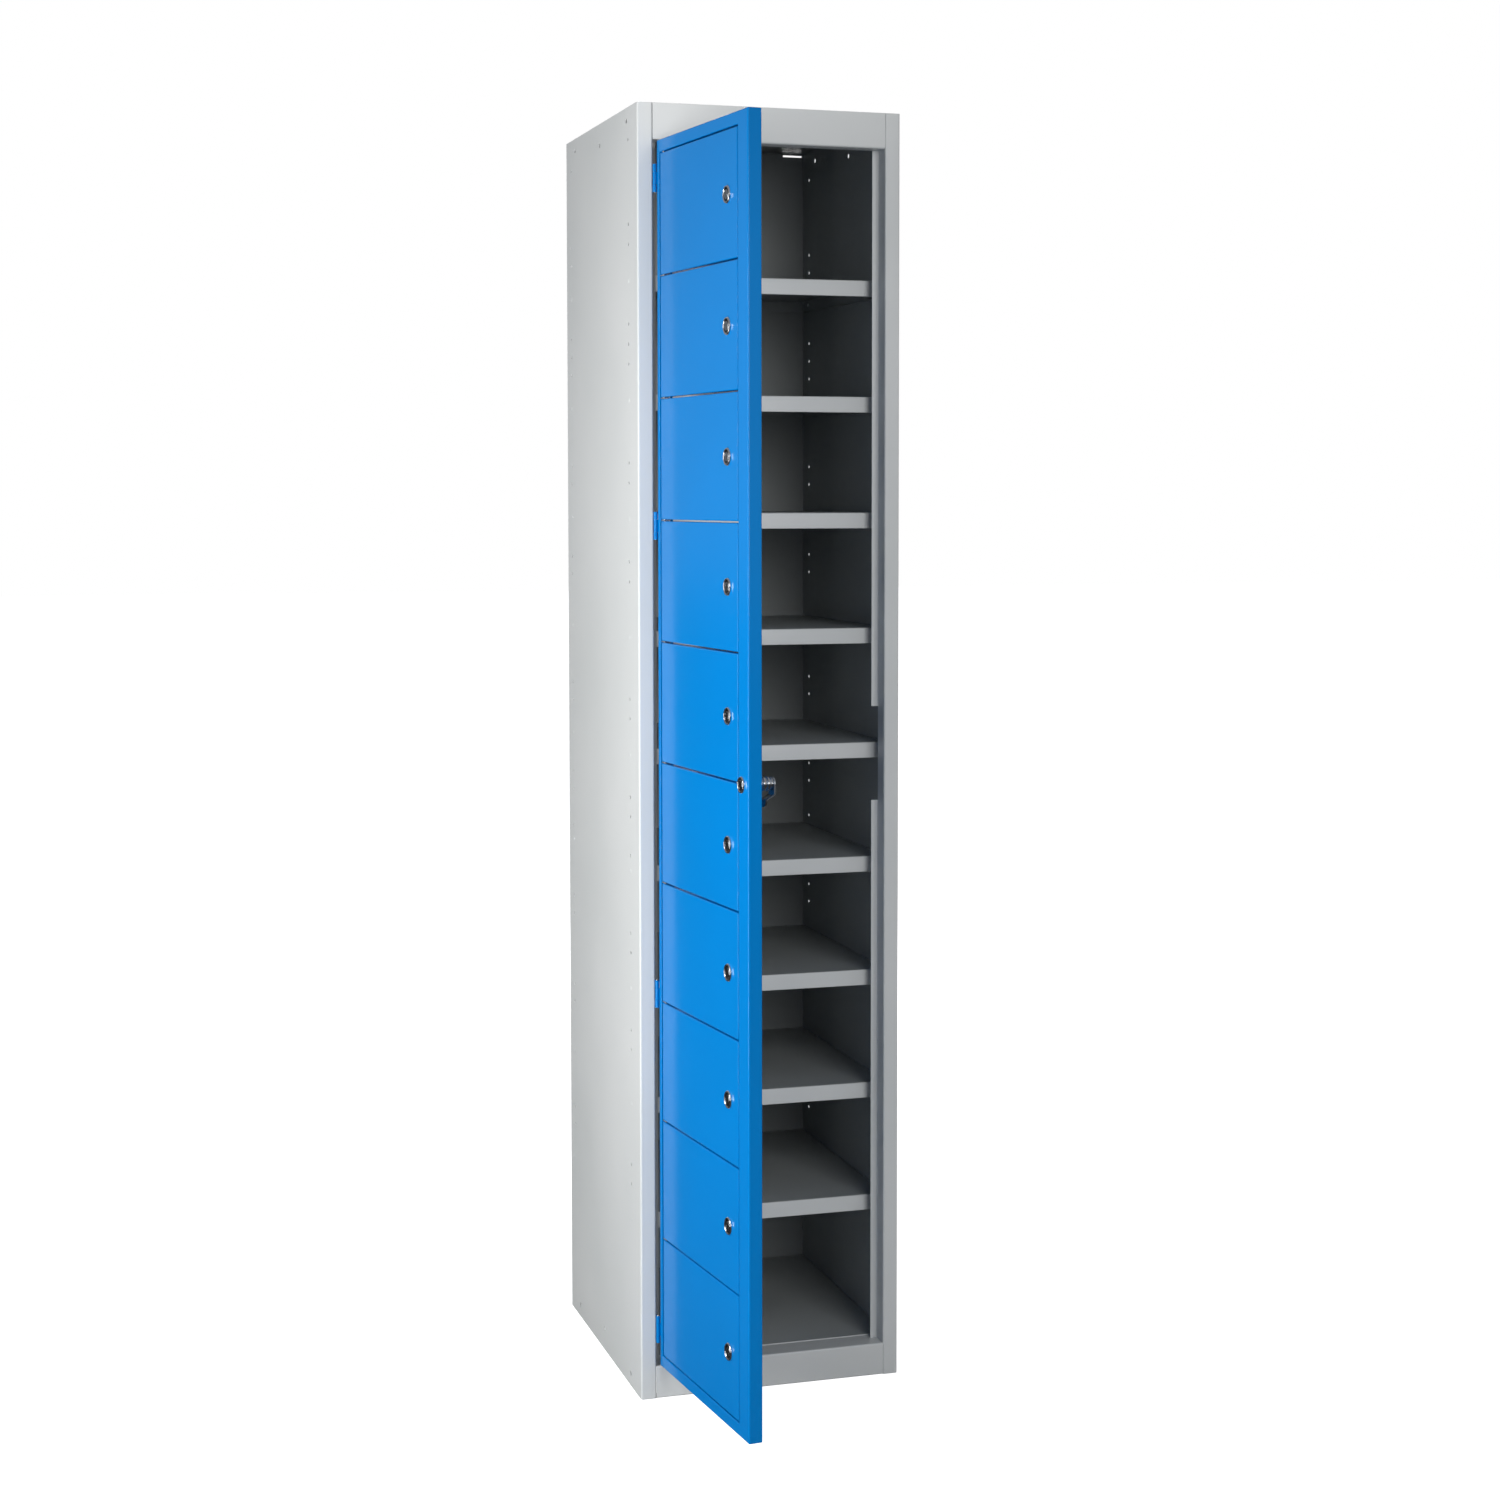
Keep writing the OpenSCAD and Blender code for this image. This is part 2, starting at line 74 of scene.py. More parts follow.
def linear_colour(hex_code: str) -> tuple[float, float, float, float]:
    """Turns an sRGB hex value into a linear colour.

    Args:
        hex_code: Six hexadecimal digits after a hash.

    Returns:
        Red, green, blue and alpha, each from 0 to 1.
    """
    srgb = np.array([int(hex_code[i : i + 2], 16) for i in (1, 3, 5)]) / 255.0
    linear = np.where(srgb <= 0.04045, srgb / 12.92, ((srgb + 0.055) / 1.055) ** 2.4)
    return (*linear.tolist(), 1.0)


def add_node(
    tree: bpy.types.NodeTree,
    kind: str,
    settings: dict[str, object] | None = None,
    links: dict[str, bpy.types.NodeSocket] | None = None,
) -> bpy.types.Node:
    """Adds one shader node with its settings and links.

    Args:
        tree: The tree that the node is added to.
        kind: The node's type name.
        settings: Values by input socket name, or by property name where no socket has it.
        links: Output sockets of other nodes, by the name of the input that each one feeds.

    Returns:
        The new node.
    """
    node = tree.nodes.new(kind)
    for name, value in (settings or {}).items():
        if hasattr(node, name):
            setattr(node, name, value)
        else:
            node.inputs[name].default_value = value
    for name, source in (links or {}).items():
        tree.links.new(source, node.inputs[name])
    return node


def object_position(tree: bpy.types.NodeTree) -> bpy.types.NodeSocket:
    """Returns the socket that gives each point's place on the object, in metres."""
    return add_node(tree, "ShaderNodeTexCoord").outputs["Object"]


def noise_at(
    tree: bpy.types.NodeTree, position: bpy.types.NodeSocket, size_mm: float, detail: float
) -> bpy.types.NodeSocket:
    """Adds a noise whose lumps are about size_mm across.

    Args:
        tree: The tree that the noise is added to.
        position: Where the noise reads its place from.
        size_mm: The size of a lump.
        detail: How many finer octaves it has.

    Returns:
        The noise's value socket.
    """
    settings = {"Scale": 1.0 / (size_mm * MM), "Detail": detail, "Roughness": 0.5}
    return add_node(tree, "ShaderNodeTexNoise", settings, {"Vector": position}).outputs["Fac"]


def blank_material(name: str) -> tuple[bpy.types.Material, bpy.types.NodeTree]:
    """Makes a material with an empty node tree, and returns both."""
    material = bpy.data.materials.new(name)
    material.use_nodes = True
    material.node_tree.nodes.clear()
    return material, material.node_tree


@dataclass(frozen=True)
class Coating:
    """What the finishes share: two tones, a roughness that wanders and a fine relief."""

    name: str
    colour: str
    shade: str
    roughness: float

    def layered(
        self,
        tones: tuple[float, float],
        gloss: tuple[float, float],
        relief: tuple[float, float],
        spread: float,
        depth_mm: float,
        settings: dict[str, object],
    ) -> bpy.types.Material:
        """Makes the material from three noises, each given by its size in mm and its detail.

        Args:
            tones: The noise that drifts from the shade to the colour.
            gloss: The noise that moves the roughness.
            relief: The noise that the bump follows.
            spread: How far the roughness moves each way, as a share of itself.
            depth_mm: The bump's depth.
            settings: The surface's other settings.

        Returns:
            The material.
        """
        material, tree = blank_material(self.name)
        position = object_position(tree)
        drift = noise_at(tree, position, *tones)
        tone = add_node(tree, "ShaderNodeValToRGB", {}, {"Fac": drift})
        stops = tone.color_ramp.elements
        stops[0].position, stops[1].position = 0.3, 0.7
        stops[0].color, stops[1].color = linear_colour(self.shade), linear_colour(self.colour)
        wear = add_node(
            tree,
            "ShaderNodeMapRange",
            {"To Min": self.roughness * (1 - spread), "To Max": self.roughness * (1 + spread)},
            {"Value": noise_at(tree, position, *gloss)},
        )
        bump = add_node(
            tree,
            "ShaderNodeBump",
            {"Strength": 1.0, "Distance": depth_mm * MM},
            {"Height": noise_at(tree, position, *relief)},
        )
        links = {
            "Base Color": tone.outputs["Color"],
            "Roughness": wear.outputs["Result"],
            "Normal": bump.outputs["Normal"],
        }
        surface = add_node(tree, "ShaderNodeBsdfPrincipled", settings, links)
        add_node(tree, "ShaderNodeOutputMaterial", {}, {"Surface": surface.outputs["BSDF"]})
        return material


@dataclass(frozen=True)
class PowderCoat(Coating):
    """Polyester powder coat, sprayed dry and baked on folded steel.

    It flows into a smooth, semi-gloss film with a faint orange peel, so a straight
    reflection ripples a little and large panels drift slightly in tone.
    """

    specular: float
    peel_mm: float = 5.0
    peel_depth_mm: float = 0.012
    drift_mm: float = 260.0
    dust_mm: float = 1.6

    def build(self) -> bpy.types.Material:
        """Makes the material and returns it."""
        tones, gloss, relief = (self.drift_mm, 2.0), (self.dust_mm, 3.0), (self.peel_mm, 2.0)
        settings = {"IOR": 1.5, "Specular IOR Level": self.specular}
        return self.layered(tones, gloss, relief, 0.12, self.peel_depth_mm, settings)


@dataclass(frozen=True)
class PlatedMetal(Coating):
    """Metal with a plated skin: chrome on a lock's head, zinc on cams, pins and plates.

    The plating gives hard bright reflections, broken by fine marks from barrel polishing
    and, on zinc, by soft patches where the passivation is thicker.
    """

    patch_mm: float
    mark_mm: float
    mark_depth_mm: float

    def build(self) -> bpy.types.Material:
        """Makes the material and returns it."""
        tones, marks = (self.patch_mm, 3.0), (self.mark_mm, 4.0)
        return self.layered(tones, marks, marks, 0.3, self.mark_depth_mm, {"Metallic": 1.0})


class Finish(Enum):
    """The finishes of the locker's pieces."""

    # Light grey polyester coat, semi-gloss: pale, even, with a soft highlight on each bend.
    GREY_COAT = PowderCoat("grey_polyester_coat", "#d6d8d7", "#cfd2d1", 0.34, 0.45)
    # Painted shade: the same grey coat, darker and a little duller, on the faces inside the locker
    # where shade falls.
    INNER_COAT = PowderCoat("inner_thin_grey_coat", "#a8acac", "#9fa3a3", 0.45, 0.3)
    # Blue polyester coat, glossier than the grey: saturated, with crisp edge highlights.
    BLUE_COAT = PowderCoat("blue_polyester_coat", "#007ac5", "#0077c0", 0.18, 0.2)
    # Bright chrome on die-cast zinc: mirror-like, almost no marks.
    CHROME = PlatedMetal("bright_chrome_plate", "#eceef0", "#e2e5e8", 0.16, 9.0, 0.8, 0.0015)
    # A dark satin metal finish on the floor of the lock's dished recess: a dark ring round the plug.
    BLACK_ZINC = PlatedMetal("black_zinc_plate", "#4a4c50", "#3c3e42", 0.3, 6.0, 0.6, 0.002)
    # Clear-passivated zinc on pressed steel: bluish white with faint clouds.
    ZINC = PlatedMetal("clear_zinc_plate", "#c3c9cf", "#aab1b8", 0.24, 7.0, 0.7, 0.004)
    # Drawn steel pins, bright from rubbing: clean and slightly warm.
    STEEL = PlatedMetal("bright_drawn_steel", "#d2d2d0", "#bcbcba", 0.18, 5.0, 0.5, 0.003)

    def material(self) -> bpy.types.Material:
        """Returns this finish's material, made the first time it is asked for."""
        found = bpy.data.materials.get(self.value.name)
        return found or self.value.build()


class Slot(Enum):
    """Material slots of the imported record."""

    GREY = "grey_powder_coat"
    INNER = "inner_grey_coat"
    BLUE = "blue_powder_coat"
    CHROME = "lock_chrome"
    ZINC = "cam_zinc"
    STEEL = "bright_steel"


# Shapes


class Lay(Enum):
    """How a section's two coordinates and its run are laid on X, Y and Z."""

    PLAN = (0, 1, 2)
    SIDE = (1, 2, 0)
    FRONT = (0, 2, 1)


@dataclass
class Shell:
    """A mesh in the making: vertices as an array of points, faces as tuples of indices."""

    points: np.ndarray
    faces: list[tuple[int, ...]]

    def joined(self, *others: "Shell") -> "Shell":
        """Returns this shell and the others as one, their faces renumbered."""
        points, faces = [self.points], list(self.faces)
        count = len(self.points)
        for other in others:
            faces += [tuple(i + count for i in f) for f in other.faces]
            points.append(other.points)
            count += len(other.points)
        return Shell(np.concatenate(points), faces)

    def moved(self, place: Callable[[np.ndarray], np.ndarray]) -> "Shell":
        """Returns the shell with its points passed through place."""
        return Shell(place(self.points), self.faces)


def together(shells: list[Shell]) -> Shell:
    """Joins a list of shells into one."""
    return shells[0].joined(*shells[1:])


def rotated(vectors: np.ndarray, angles: np.ndarray) -> np.ndarray:
    """Turns 2-D vectors by angles: (x cos - y sin, x sin + y cos)."""
    cos, sin = np.cos(angles), np.sin(angles)
    x, y = vectors[..., 0], vectors[..., 1]
    return np.stack([x * cos - y * sin, x * sin + y * cos], axis=-1)


def filleted(
    corners: np.ndarray, radii: np.ndarray | float, closed: bool, steps: int = 5
) -> np.ndarray:
    """Rounds the corners of a polyline.

    At a corner that turns by t, an arc of radius r starts r tan(t / 2) before it and its
    centre lies r / cos(t / 2) from it on the line that halves the corner. Each arc has a
    point a little before it and one a little after it, so that the flat sides shade flat.

    Args:
        corners: The polyline's points, n by 2.
        radii: The radius at each corner, or one for all.
        closed: Whether the last corner joins the first. If not, the ends stay as they are.
        steps: How many points an arc has.

    Returns:
        The rounded polyline's points.
    """
    corners = np.asarray(corners, float)
    radii = np.broadcast_to(np.asarray(radii, float), len(corners))
    before, after = np.roll(corners, 1, axis=0), np.roll(corners, -1, axis=0)
    way_in, way_out = corners - before, after - corners
    long_in, long_out = np.linalg.norm(way_in, axis=1), np.linalg.norm(way_out, axis=1)
    way_in, way_out = way_in / long_in[:, None], way_out / long_out[:, None]
    turn = np.arctan2(
        way_in[:, 0] * way_out[:, 1] - way_in[:, 1] * way_out[:, 0],
        (way_in * way_out).sum(axis=1),
    )
    reach = radii * np.abs(np.tan(turn / 2))
    if not closed:
        reach[[0, -1]] = 0.0
    spare_in = (long_in - reach - np.roll(reach, 1)) * 0.3
    spare_out = (long_out - reach - np.roll(reach, -1)) * 0.3
    pad_in, pad_out = np.minimum(spare_in, 0.4 * MM), np.minimum(spare_out, 0.4 * MM)
    start = corners - way_in * reach[:, None]
    side = np.sign(turn)
    to_centre = rotated(way_in, side * np.pi / 2) * radii[:, None]
    centre = start + to_centre
    share = np.linspace(0.0, 1.0, steps)[None, :]
    arc = centre[:, None] + rotated(-to_centre[:, None], turn[:, None] * share)
    lead = (start - way_in * pad_in[:, None])[:, None]
    tail = (arc[:, -1] + way_out * pad_out[:, None])[:, None]
    rounded = np.concatenate([lead, arc, tail], axis=1)
    if closed:
        return rounded.reshape(-1, 2)
    inner = rounded[1:-1].reshape(-1, 2)
    return np.concatenate([corners[:1], inner, corners[-1:]])


def folded_section(path: np.ndarray, bend: float, thickness: float) -> np.ndarray:
    """Outlines the section of a folded sheet whose middle follows a path.

    Both faces are the path moved half a thickness to its left and to its right, mitred at
    the folds. A fold's outer radius is the bend's plus half the thickness, its inner one
    that much less.

    Args:
        path: The corners of the sheet's middle line, n by 2.
        bend: The fold radius of the middle line.
        thickness: The sheet's thickness.

    Returns:
        The closed outline's points.
    """
    path = np.asarray(path, float)
    ways = np.diff(path, axis=0)
    ways = ways / np.linalg.norm(ways, axis=1)[:, None]
    way_in, way_out = np.concatenate([ways[:1], ways]), np.concatenate([ways, ways[-1:]])
    middle = way_in + way_out
    middle = middle / np.linalg.norm(middle, axis=1)[:, None]
    stretch = 1.0 / (middle * way_in).sum(axis=1)
    left = rotated(middle, np.full(len(path), np.pi / 2)) * (stretch * thickness / 2)[:, None]
    turn = way_in[:, 0] * way_out[:, 1] - way_in[:, 1] * way_out[:, 0]
    edge = 0.12 * MM
    left_r = np.where(turn > 0, bend - thickness / 2, bend + thickness / 2)
    right_r = np.where(turn > 0, bend + thickness / 2, bend - thickness / 2)
    left_r[[0, -1]] = right_r[[0, -1]] = edge
    corners = np.concatenate([path + left, (path - left)[::-1]])
    return filleted(corners, np.concatenate([left_r, right_r[::-1]]), closed=True)


def grid_faces(rows: int, columns: int, wrap_rows: bool) -> list[tuple[int, ...]]:
    """Numbers the quads of a grid whose columns always close on themselves.

    Args:
        rows: How many rows of points the grid has.
        columns: How many points a row has.
        wrap_rows: Whether the last row joins the first.

    Returns:
        The quads, as tuples of four point numbers.
    """
    row = np.arange(rows if wrap_rows else rows - 1)[:, None]
    column = np.arange(columns)[None, :]
    next_row, next_column = (row + 1) % rows, (column + 1) % columns
    quads = np.stack(
        [
            row * columns + column,
            row * columns + next_column,
            next_row * columns + next_column,
            next_row * columns + column,
        ],
        axis=-1,
    )
    return [tuple(q) for q in quads.reshape(-1, 4).tolist()]


def stacked(rings: np.ndarray, looped: bool = False) -> Shell:
    """Joins a stack of rings into a closed shell.

    Args:
        rings: Points, rings by points in a ring by 3.
        looped: Whether the last ring joins the first. If not, both ends get a face.

    Returns:
        The shell.
    """
    rows, columns = rings.shape[:2]
    faces = grid_faces(rows, columns, looped)
    if not looped:
        last = (rows - 1) * columns
        faces += [tuple(range(columns))[::-1], tuple(range(last, last + columns))]
    return Shell(rings.reshape(-1, 3), faces)


def swept(section: np.ndarray, start: float, end: float, lay: Lay) -> Shell:
    """Carries a section straight along the third axis of a lay.

    Args:
        section: The closed outline, n by 2.
        start: Where the run starts.
        end: Where it ends.
        lay: Which axes the section's coordinates and the run lie on.

    Returns:
        The shell, closed at both ends.
    """
    runs = np.array([start, end])
    flat = np.broadcast_to(section, (2, *section.shape))
    run = np.broadcast_to(runs[:, None, None], (2, len(section), 1))
    local = np.concatenate([flat, run], axis=2)
    return stacked(local[..., np.argsort(lay.value)])


def turn_angles(steps: int) -> np.ndarray:
    """Angles spaced evenly over one full turn: 2 pi j / steps."""
    return np.arange(steps) * 2 * np.pi / steps


def revolved(
    profile: np.ndarray, steps: int, looped: bool = False, shape: np.ndarray | None = None
) -> Shell:
    """Turns a profile about the depth axis.

    Point (i, j) lies at radius r_i times shape_j, at angle 2 pi j / steps and depth d_i.

    Args:
        profile: Radius and depth of each ring, n by 2.
        steps: How many points a ring has.
        looped: Whether the profile closes on itself, as a tube's does.
        shape: A factor on the radius, by angle or by ring and angle.

    Returns:
        The shell in (s, d, z), about the origin.
    """
    angle = turn_angles(steps)
    radius = profile[:, :1] * (np.ones(steps) if shape is None else shape)
    depth = np.broadcast_to(profile[:, 1:2], radius.shape)
    return stacked(
        np.stack([radius * np.cos(angle), depth, radius * np.sin(angle)], axis=-1), looped
    )


ARC_POINTS = 5
CORNER_ANGLES = (
    np.arange(4)[:, None] * np.pi / 2 + np.linspace(0, np.pi / 2, ARC_POINTS)[None, :]
).ravel()
CORNER_UNITS = np.stack([np.cos(CORNER_ANGLES), np.sin(CORNER_ANGLES)], axis=1)
CORNER_SIGNS = np.repeat([[1, 1], [-1, 1], [-1, -1], [1, -1]], ARC_POINTS, axis=0)
LOW_SIDE = CORNER_SIGNS[:, 1] < 0
# The least radius of a corner, and of a turned piece at its poles
LEAST_RADIUS = 0.05 * MM


def rounded_ring(
    low: tuple[float, float], high: tuple[float, float], inset: np.ndarray | float, radius: float
) -> np.ndarray:
    """Places a ring of points round a rectangle with rounded corners.

    A corner's arc has radius r - inset, never under a hair's breadth, and its centre is the
    rectangle's corner moved in both ways by the inset and that radius.

    Args:
        low: The rectangle's lowest corner.
        high: Its highest corner.
        inset: How far inside the rectangle the ring runs, for all points or for each.
        radius: The corner radius at no inset.

    Returns:
        The ring's points, n by 2.
    """
    low, high = np.asarray(low, float), np.asarray(high, float)
    inset = np.broadcast_to(np.asarray(inset, float), len(CORNER_UNITS))[:, None]
    arc = np.maximum(radius - inset, LEAST_RADIUS)
    half = (high - low) / 2
    return (low + high) / 2 + CORNER_SIGNS * (half - inset - arc) + CORNER_UNITS * arc


def ring_stack(
    stations: Iterable[tuple[np.ndarray | float, np.ndarray | float]],
    low: tuple[float, float],
    high: tuple[float, float],
    radius: float,
    axis: int,
) -> np.ndarray:
    """Places a ring at each station round a rectangle with rounded corners.

    Args:
        stations: Each ring's inset, and its place along the axis.
        low: The rectangle's lowest corner.
        high: Its highest corner.
        radius: The corner radius at no inset.
        axis: Which of a point's three coordinates the place becomes.

    Returns:
        Points, rings by points in a ring by 3.
    """
    rings = [
        np.insert(rounded_ring(low, high, inset, radius), axis, place, axis=1)
        for inset, place in stations
    ]
    return np.array(rings)


def circle(centre: tuple[float, float], radius: float, steps: int = 24) -> np.ndarray:
    """Points round a circle: the centre plus the radius times (cos, sin)."""
    angle = turn_angles(steps)
    return np.asarray(centre) + radius * np.stack([np.cos(angle), np.sin(angle)], axis=1)


def rectangle(low: tuple[float, float], high: tuple[float, float]) -> np.ndarray:
    """The four corners of a rectangle, in order."""
    return np.array([[low[0], low[1]], [high[0], low[1]], [high[0], high[1]], [low[0], high[1]]])


# Pieces


def mesh_from(name: str, shell: Shell) -> bpy.types.Mesh:
    """Makes a mesh with merged doubles and faces that point outwards."""
    mesh = bpy.data.meshes.new(name)
    mesh.from_pydata(shell.points.tolist(), [], shell.faces)
    work = bmesh.new()
    work.from_mesh(mesh)
    bmesh.ops.remove_doubles(work, verts=work.verts, dist=0.002 * MM)
    bmesh.ops.dissolve_degenerate(work, edges=work.edges, dist=0.002 * MM)
    bmesh.ops.recalc_face_normals(work, faces=work.faces)
    work.to_mesh(mesh)
    work.free()
    return mesh


def new_object(name: str, data: bpy.types.ID) -> bpy.types.Object:
    """Makes an object with this data and links it to the scene."""
    item = bpy.data.objects.new(name, data)
    bpy.context.scene.collection.objects.link(item)
    return item


def cut(mesh: bpy.types.Mesh, cutters: Shell) -> bpy.types.Mesh:
    """Takes the cutters' volume out of a mesh and returns the new mesh."""
    body, tool = new_object("body", mesh), new_object("tool", mesh_from("tool", cutters))
    step = body.modifiers.new("cut", "BOOLEAN")
    step.operation = "DIFFERENCE"
    step.solver = "EXACT"
    step.use_self = True
    step.object = tool
    bpy.context.view_layer.update()
    graph = bpy.context.evaluated_depsgraph_get()
    result = bpy.data.meshes.new_from_object(body.evaluated_get(graph))
    for item in (body, tool):
        bpy.data.objects.remove(item)
    return result


@dataclass
class Piece:
    """One visible piece: its shape, what is cut from it, its finish and its body.

    It stands for the CAD node of its own name, unless stands_for names others.
    """

    name: str
    shell: Shell
    body: str
    finish: Finish
    slot: Slot
    cutters: list[Shell] = field(default_factory=list)
    stands_for: tuple[str, ...] = ()

    def make(self) -> bpy.types.Object:
        """Makes the object, gives it its finish, hangs it on its body and hides the CAD nodes it
        stands for.
        """
        mesh = mesh_from(self.name, self.shell)
        if self.cutters:
            mesh = cut(mesh, together(self.cutters))
            mesh.name = self.name
        mesh.polygons.foreach_set("use_smooth", np.ones(len(mesh.polygons), bool))
        mesh.set_sharp_from_angle(angle=SHARP_ANGLE)
        mesh.materials.clear()
        mesh.materials.append(self.finish.material())
        piece = new_object(self.name, mesh)
        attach(piece, self.body)
        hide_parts(*(self.stands_for or (self.name,)))
        LOG.info("made %s with %d faces", self.name, len(mesh.polygons))
        return piece


def paint_faces(
    piece: bpy.types.Object,
    finish: Finish,
    chosen: Callable[[np.ndarray, np.ndarray], np.ndarray],
) -> None:
    """Gives some of a piece's faces a second finish.

    Args:
        piece: The piece.
        finish: The second finish.
        chosen: A function of face centres and normals that says which faces get it.
    """
    mesh = piece.data
    count = len(mesh.polygons)
    centres, normals = np.zeros(count * 3), np.zeros(count * 3)
    mesh.polygons.foreach_get("center", centres)
    mesh.polygons.foreach_get("normal", normals)
    mask = chosen(centres.reshape(-1, 3), normals.reshape(-1, 3))
    mesh.materials.append(finish.material())
    index = np.where(mask, len(mesh.materials) - 1, 0).astype(np.int32)
    mesh.polygons.foreach_set("material_index", index)


def dress_node(name: str, finish: Finish) -> None:
    """Gives a CAD node that stays visible its finish."""
    mesh = frame["nodes"][name].data
    mesh.materials.clear()
    mesh.materials.append(finish.material())
    LOG.info("dressed %s", name)


# Carcass


@dataclass
class Carcass:
    """The folded steel body: side panels, back, top, header, plinth, floor and shelves."""

    sheet: float = 1.0 * MM
    bend: float = 1.9 * MM
    flange: float = 22.0 * MM
    recess: float = 27.0 * MM
    stop_lip: float = 10.0 * MM
    rear_flange: float = 15.0 * MM
    foot_flange: float = 19.0 * MM
    foot_hole_inset: float = 11.0 * MM
    foot_hole_span: float = 360.0 * MM
    nest_hole: float = 3.5 * MM
    nest_span_y: float = 326.0 * MM
    nest_span_z: float = 1764.0 * MM
    nest_middle_span: float = 1738.0 * MM
    shelf_hole: float = 2.5 * MM
    hole_front: float = 52.0 * MM
    hole_rear: float = 418.0 * MM
    hole_rise: float = 42.0 * MM
    hole_pitch: float = 27.5 * MM
    notch: float = 135.0 * MM
    notch_centre: float = 897.05 * MM
    shelf_lip: float = 22.4 * MM
    shelf_flange: float = 18.0 * MM
    shelf_return: float = 8.0 * MM
    shelf_count: int = 9
    slot_inset: float = 33.0 * MM
    slot_width: float = 31.0 * MM
    slot_drop: float = 5.0 * MM
    slot_height: float = 2.8 * MM
    plate_corner: float = 1.0 * MM
    tray_corner: float = 1.2 * MM
    tray_bend: float = 1.6 * MM
    flat_inset: float = 6.0 * MM
    floor_edge: float = 3.0 * MM
    floor_flange: float = 20.0 * MM
    rivet_drop: float = 8.0 * MM
    rivet_head: float = 3.4 * MM
    rivet_dome: float = 0.6 * MM

    def __post_init__(self) -> None:
        """Reads the carcass's corners from the CAD nodes."""
        panel_low, panel_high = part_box("side_panel_left")
        self.left, self.front = panel_low.x, panel_low.y
        self.rear, self.top = panel_high.y, panel_high.z
        self.opening_left = self.left + self.flange
        self.opening_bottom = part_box("plinth")[1].z
        self.opening_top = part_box("header")[0].z

    def build(self) -> None:
        """Builds and dresses every piece of the carcass."""
        for side in (-1, 1):
            self.side_panel(side)
        self.header()
        self.plinth()
        self.top_panel()
        self.back_panel()
        self.floor_panel()
        for number in range(1, self.shelf_count + 1):
            self.shelf(number)
        self.rivets()

    def spare_hole_heights(self) -> list[float]:
        """Heights of the spare shelf holes: a pair above each shelf, higher in every other one.

        Three more stand alone: above the first pair, below the second and below the sixth.
        """
        tops = [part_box(f"shelf_{i}")[1].z for i in range(1, self.shelf_count + 1)]
        step, rise = self.hole_pitch, self.hole_rise
        pairs = [
            top + rise + (step if i % 2 else 0.0) + k * step
            for i, top in enumerate(tops)
            for k in (0, 1)
        ]
        return pairs + [tops[0] + 185.6 * MM, tops[1] + rise, tops[5] + rise - step]

    def side_panel(self, side: int) -> None:
        """One side panel, folded from one sheet: rear flange, wall, front flange, recess, stop lip.

        Args:
            side: -1 for the left panel and +1 for the right one.
        """
        half, t = -self.left, self.sheet
        jamb = -self.opening_left
        path = np.array(
            [
                [half - self.rear_flange, self.rear - t / 2],
                [half - t / 2, self.rear - t / 2],
                [half - t / 2, self.front + t / 2],
                [jamb + t / 2, self.front + t / 2],
                [jamb + t / 2, self.front + self.recess - t / 2],
                [jamb - self.stop_lip, self.front + self.recess - t / 2],
            ]
        )
        path[:, 0] *= side
        name = "side_panel_left" if side < 0 else "side_panel_right"
        wall = swept(folded_section(path, self.bend, t), 0.0, self.top, Lay.PLAN)
        foot_x = sorted([side * (half - t), side * (half - self.foot_flange)])
        foot = swept(
            filleted(
                rectangle((foot_x[0], self.front + 3 * t), (foot_x[1], self.rear - 3 * t)),
                0.3 * MM,
                closed=True,
            ),
            0.0,
            t,
            Lay.PLAN,
        )
        cutters = self.panel_holes(side) + self.lip_cuts(side)
        if side > 0:
            cutters.append(self.back_slot())
        shell = wall.joined(foot)
        panel = Piece(name, shell, "carcass", Finish.GREY_COAT, Slot.GREY, cutters).make()

        def inner(centres: np.ndarray, normals: np.ndarray) -> np.ndarray:
            """Faces that look into the locker, behind the wall, the flange and the recess: these get
            painted shade.
            """
            x, nx = centres[:, 0] * side, normals[:, 0] * side
            wall_side = (nx < -0.5) & (x > half - 4 * MM)
            flange_back = (normals[:, 1] > 0.5) & (centres[:, 1] < self.front + 4 * MM)
            recess_back = (nx > 0.5) & (x < jamb + 1.2 * t) & (x > jamb + 0.8 * t)
            lip_back = (normals[:, 1] > 0.5) & (centres[:, 1] < self.front + self.recess + t)
            return wall_side | flange_back | recess_back | lip_back

        # Painted shade: the faces inside the locker get the darker grey, for the shade that falls
        # there.
        paint_faces(panel, Finish.INNER_COAT, inner)

    def panel_holes(self, side: int) -> list[Shell]:
        """Cutters for the nesting, spare shelf and floor fixing holes of a side panel."""
        x = sorted([side * (-self.left - 4 * MM), side * (-self.left + 4 * MM)])
        middle_z, half_y = self.top / 2, self.nest_span_y / 2
        columns = (self.front + self.hole_front, self.front + self.hole_rear)
        spots = [
            (y, z, self.shelf_hole) for y in columns for z in self.spare_hole_heights()
        ]
        spots += [
            (y, middle_z + k * self.nest_span_z / 2, self.nest_hole)
            for y in (-half_y, half_y)
            for k in (-1, 1)
        ]
        spots += [(0.0, middle_z + k * self.nest_middle_span / 2, self.nest_hole) for k in (-1, 1)]
        holes = [swept(circle((y, z), r), x[0], x[1], Lay.SIDE) for y, z, r in spots]
        foot_x = side * (-self.left - self.foot_hole_inset)
        holes += [
            swept(
                circle((foot_x, k * self.foot_hole_span / 2), self.nest_hole),
                *THROUGH,
                Lay.PLAN,
            )
            for k in (-1, 1)
        ]
        return holes

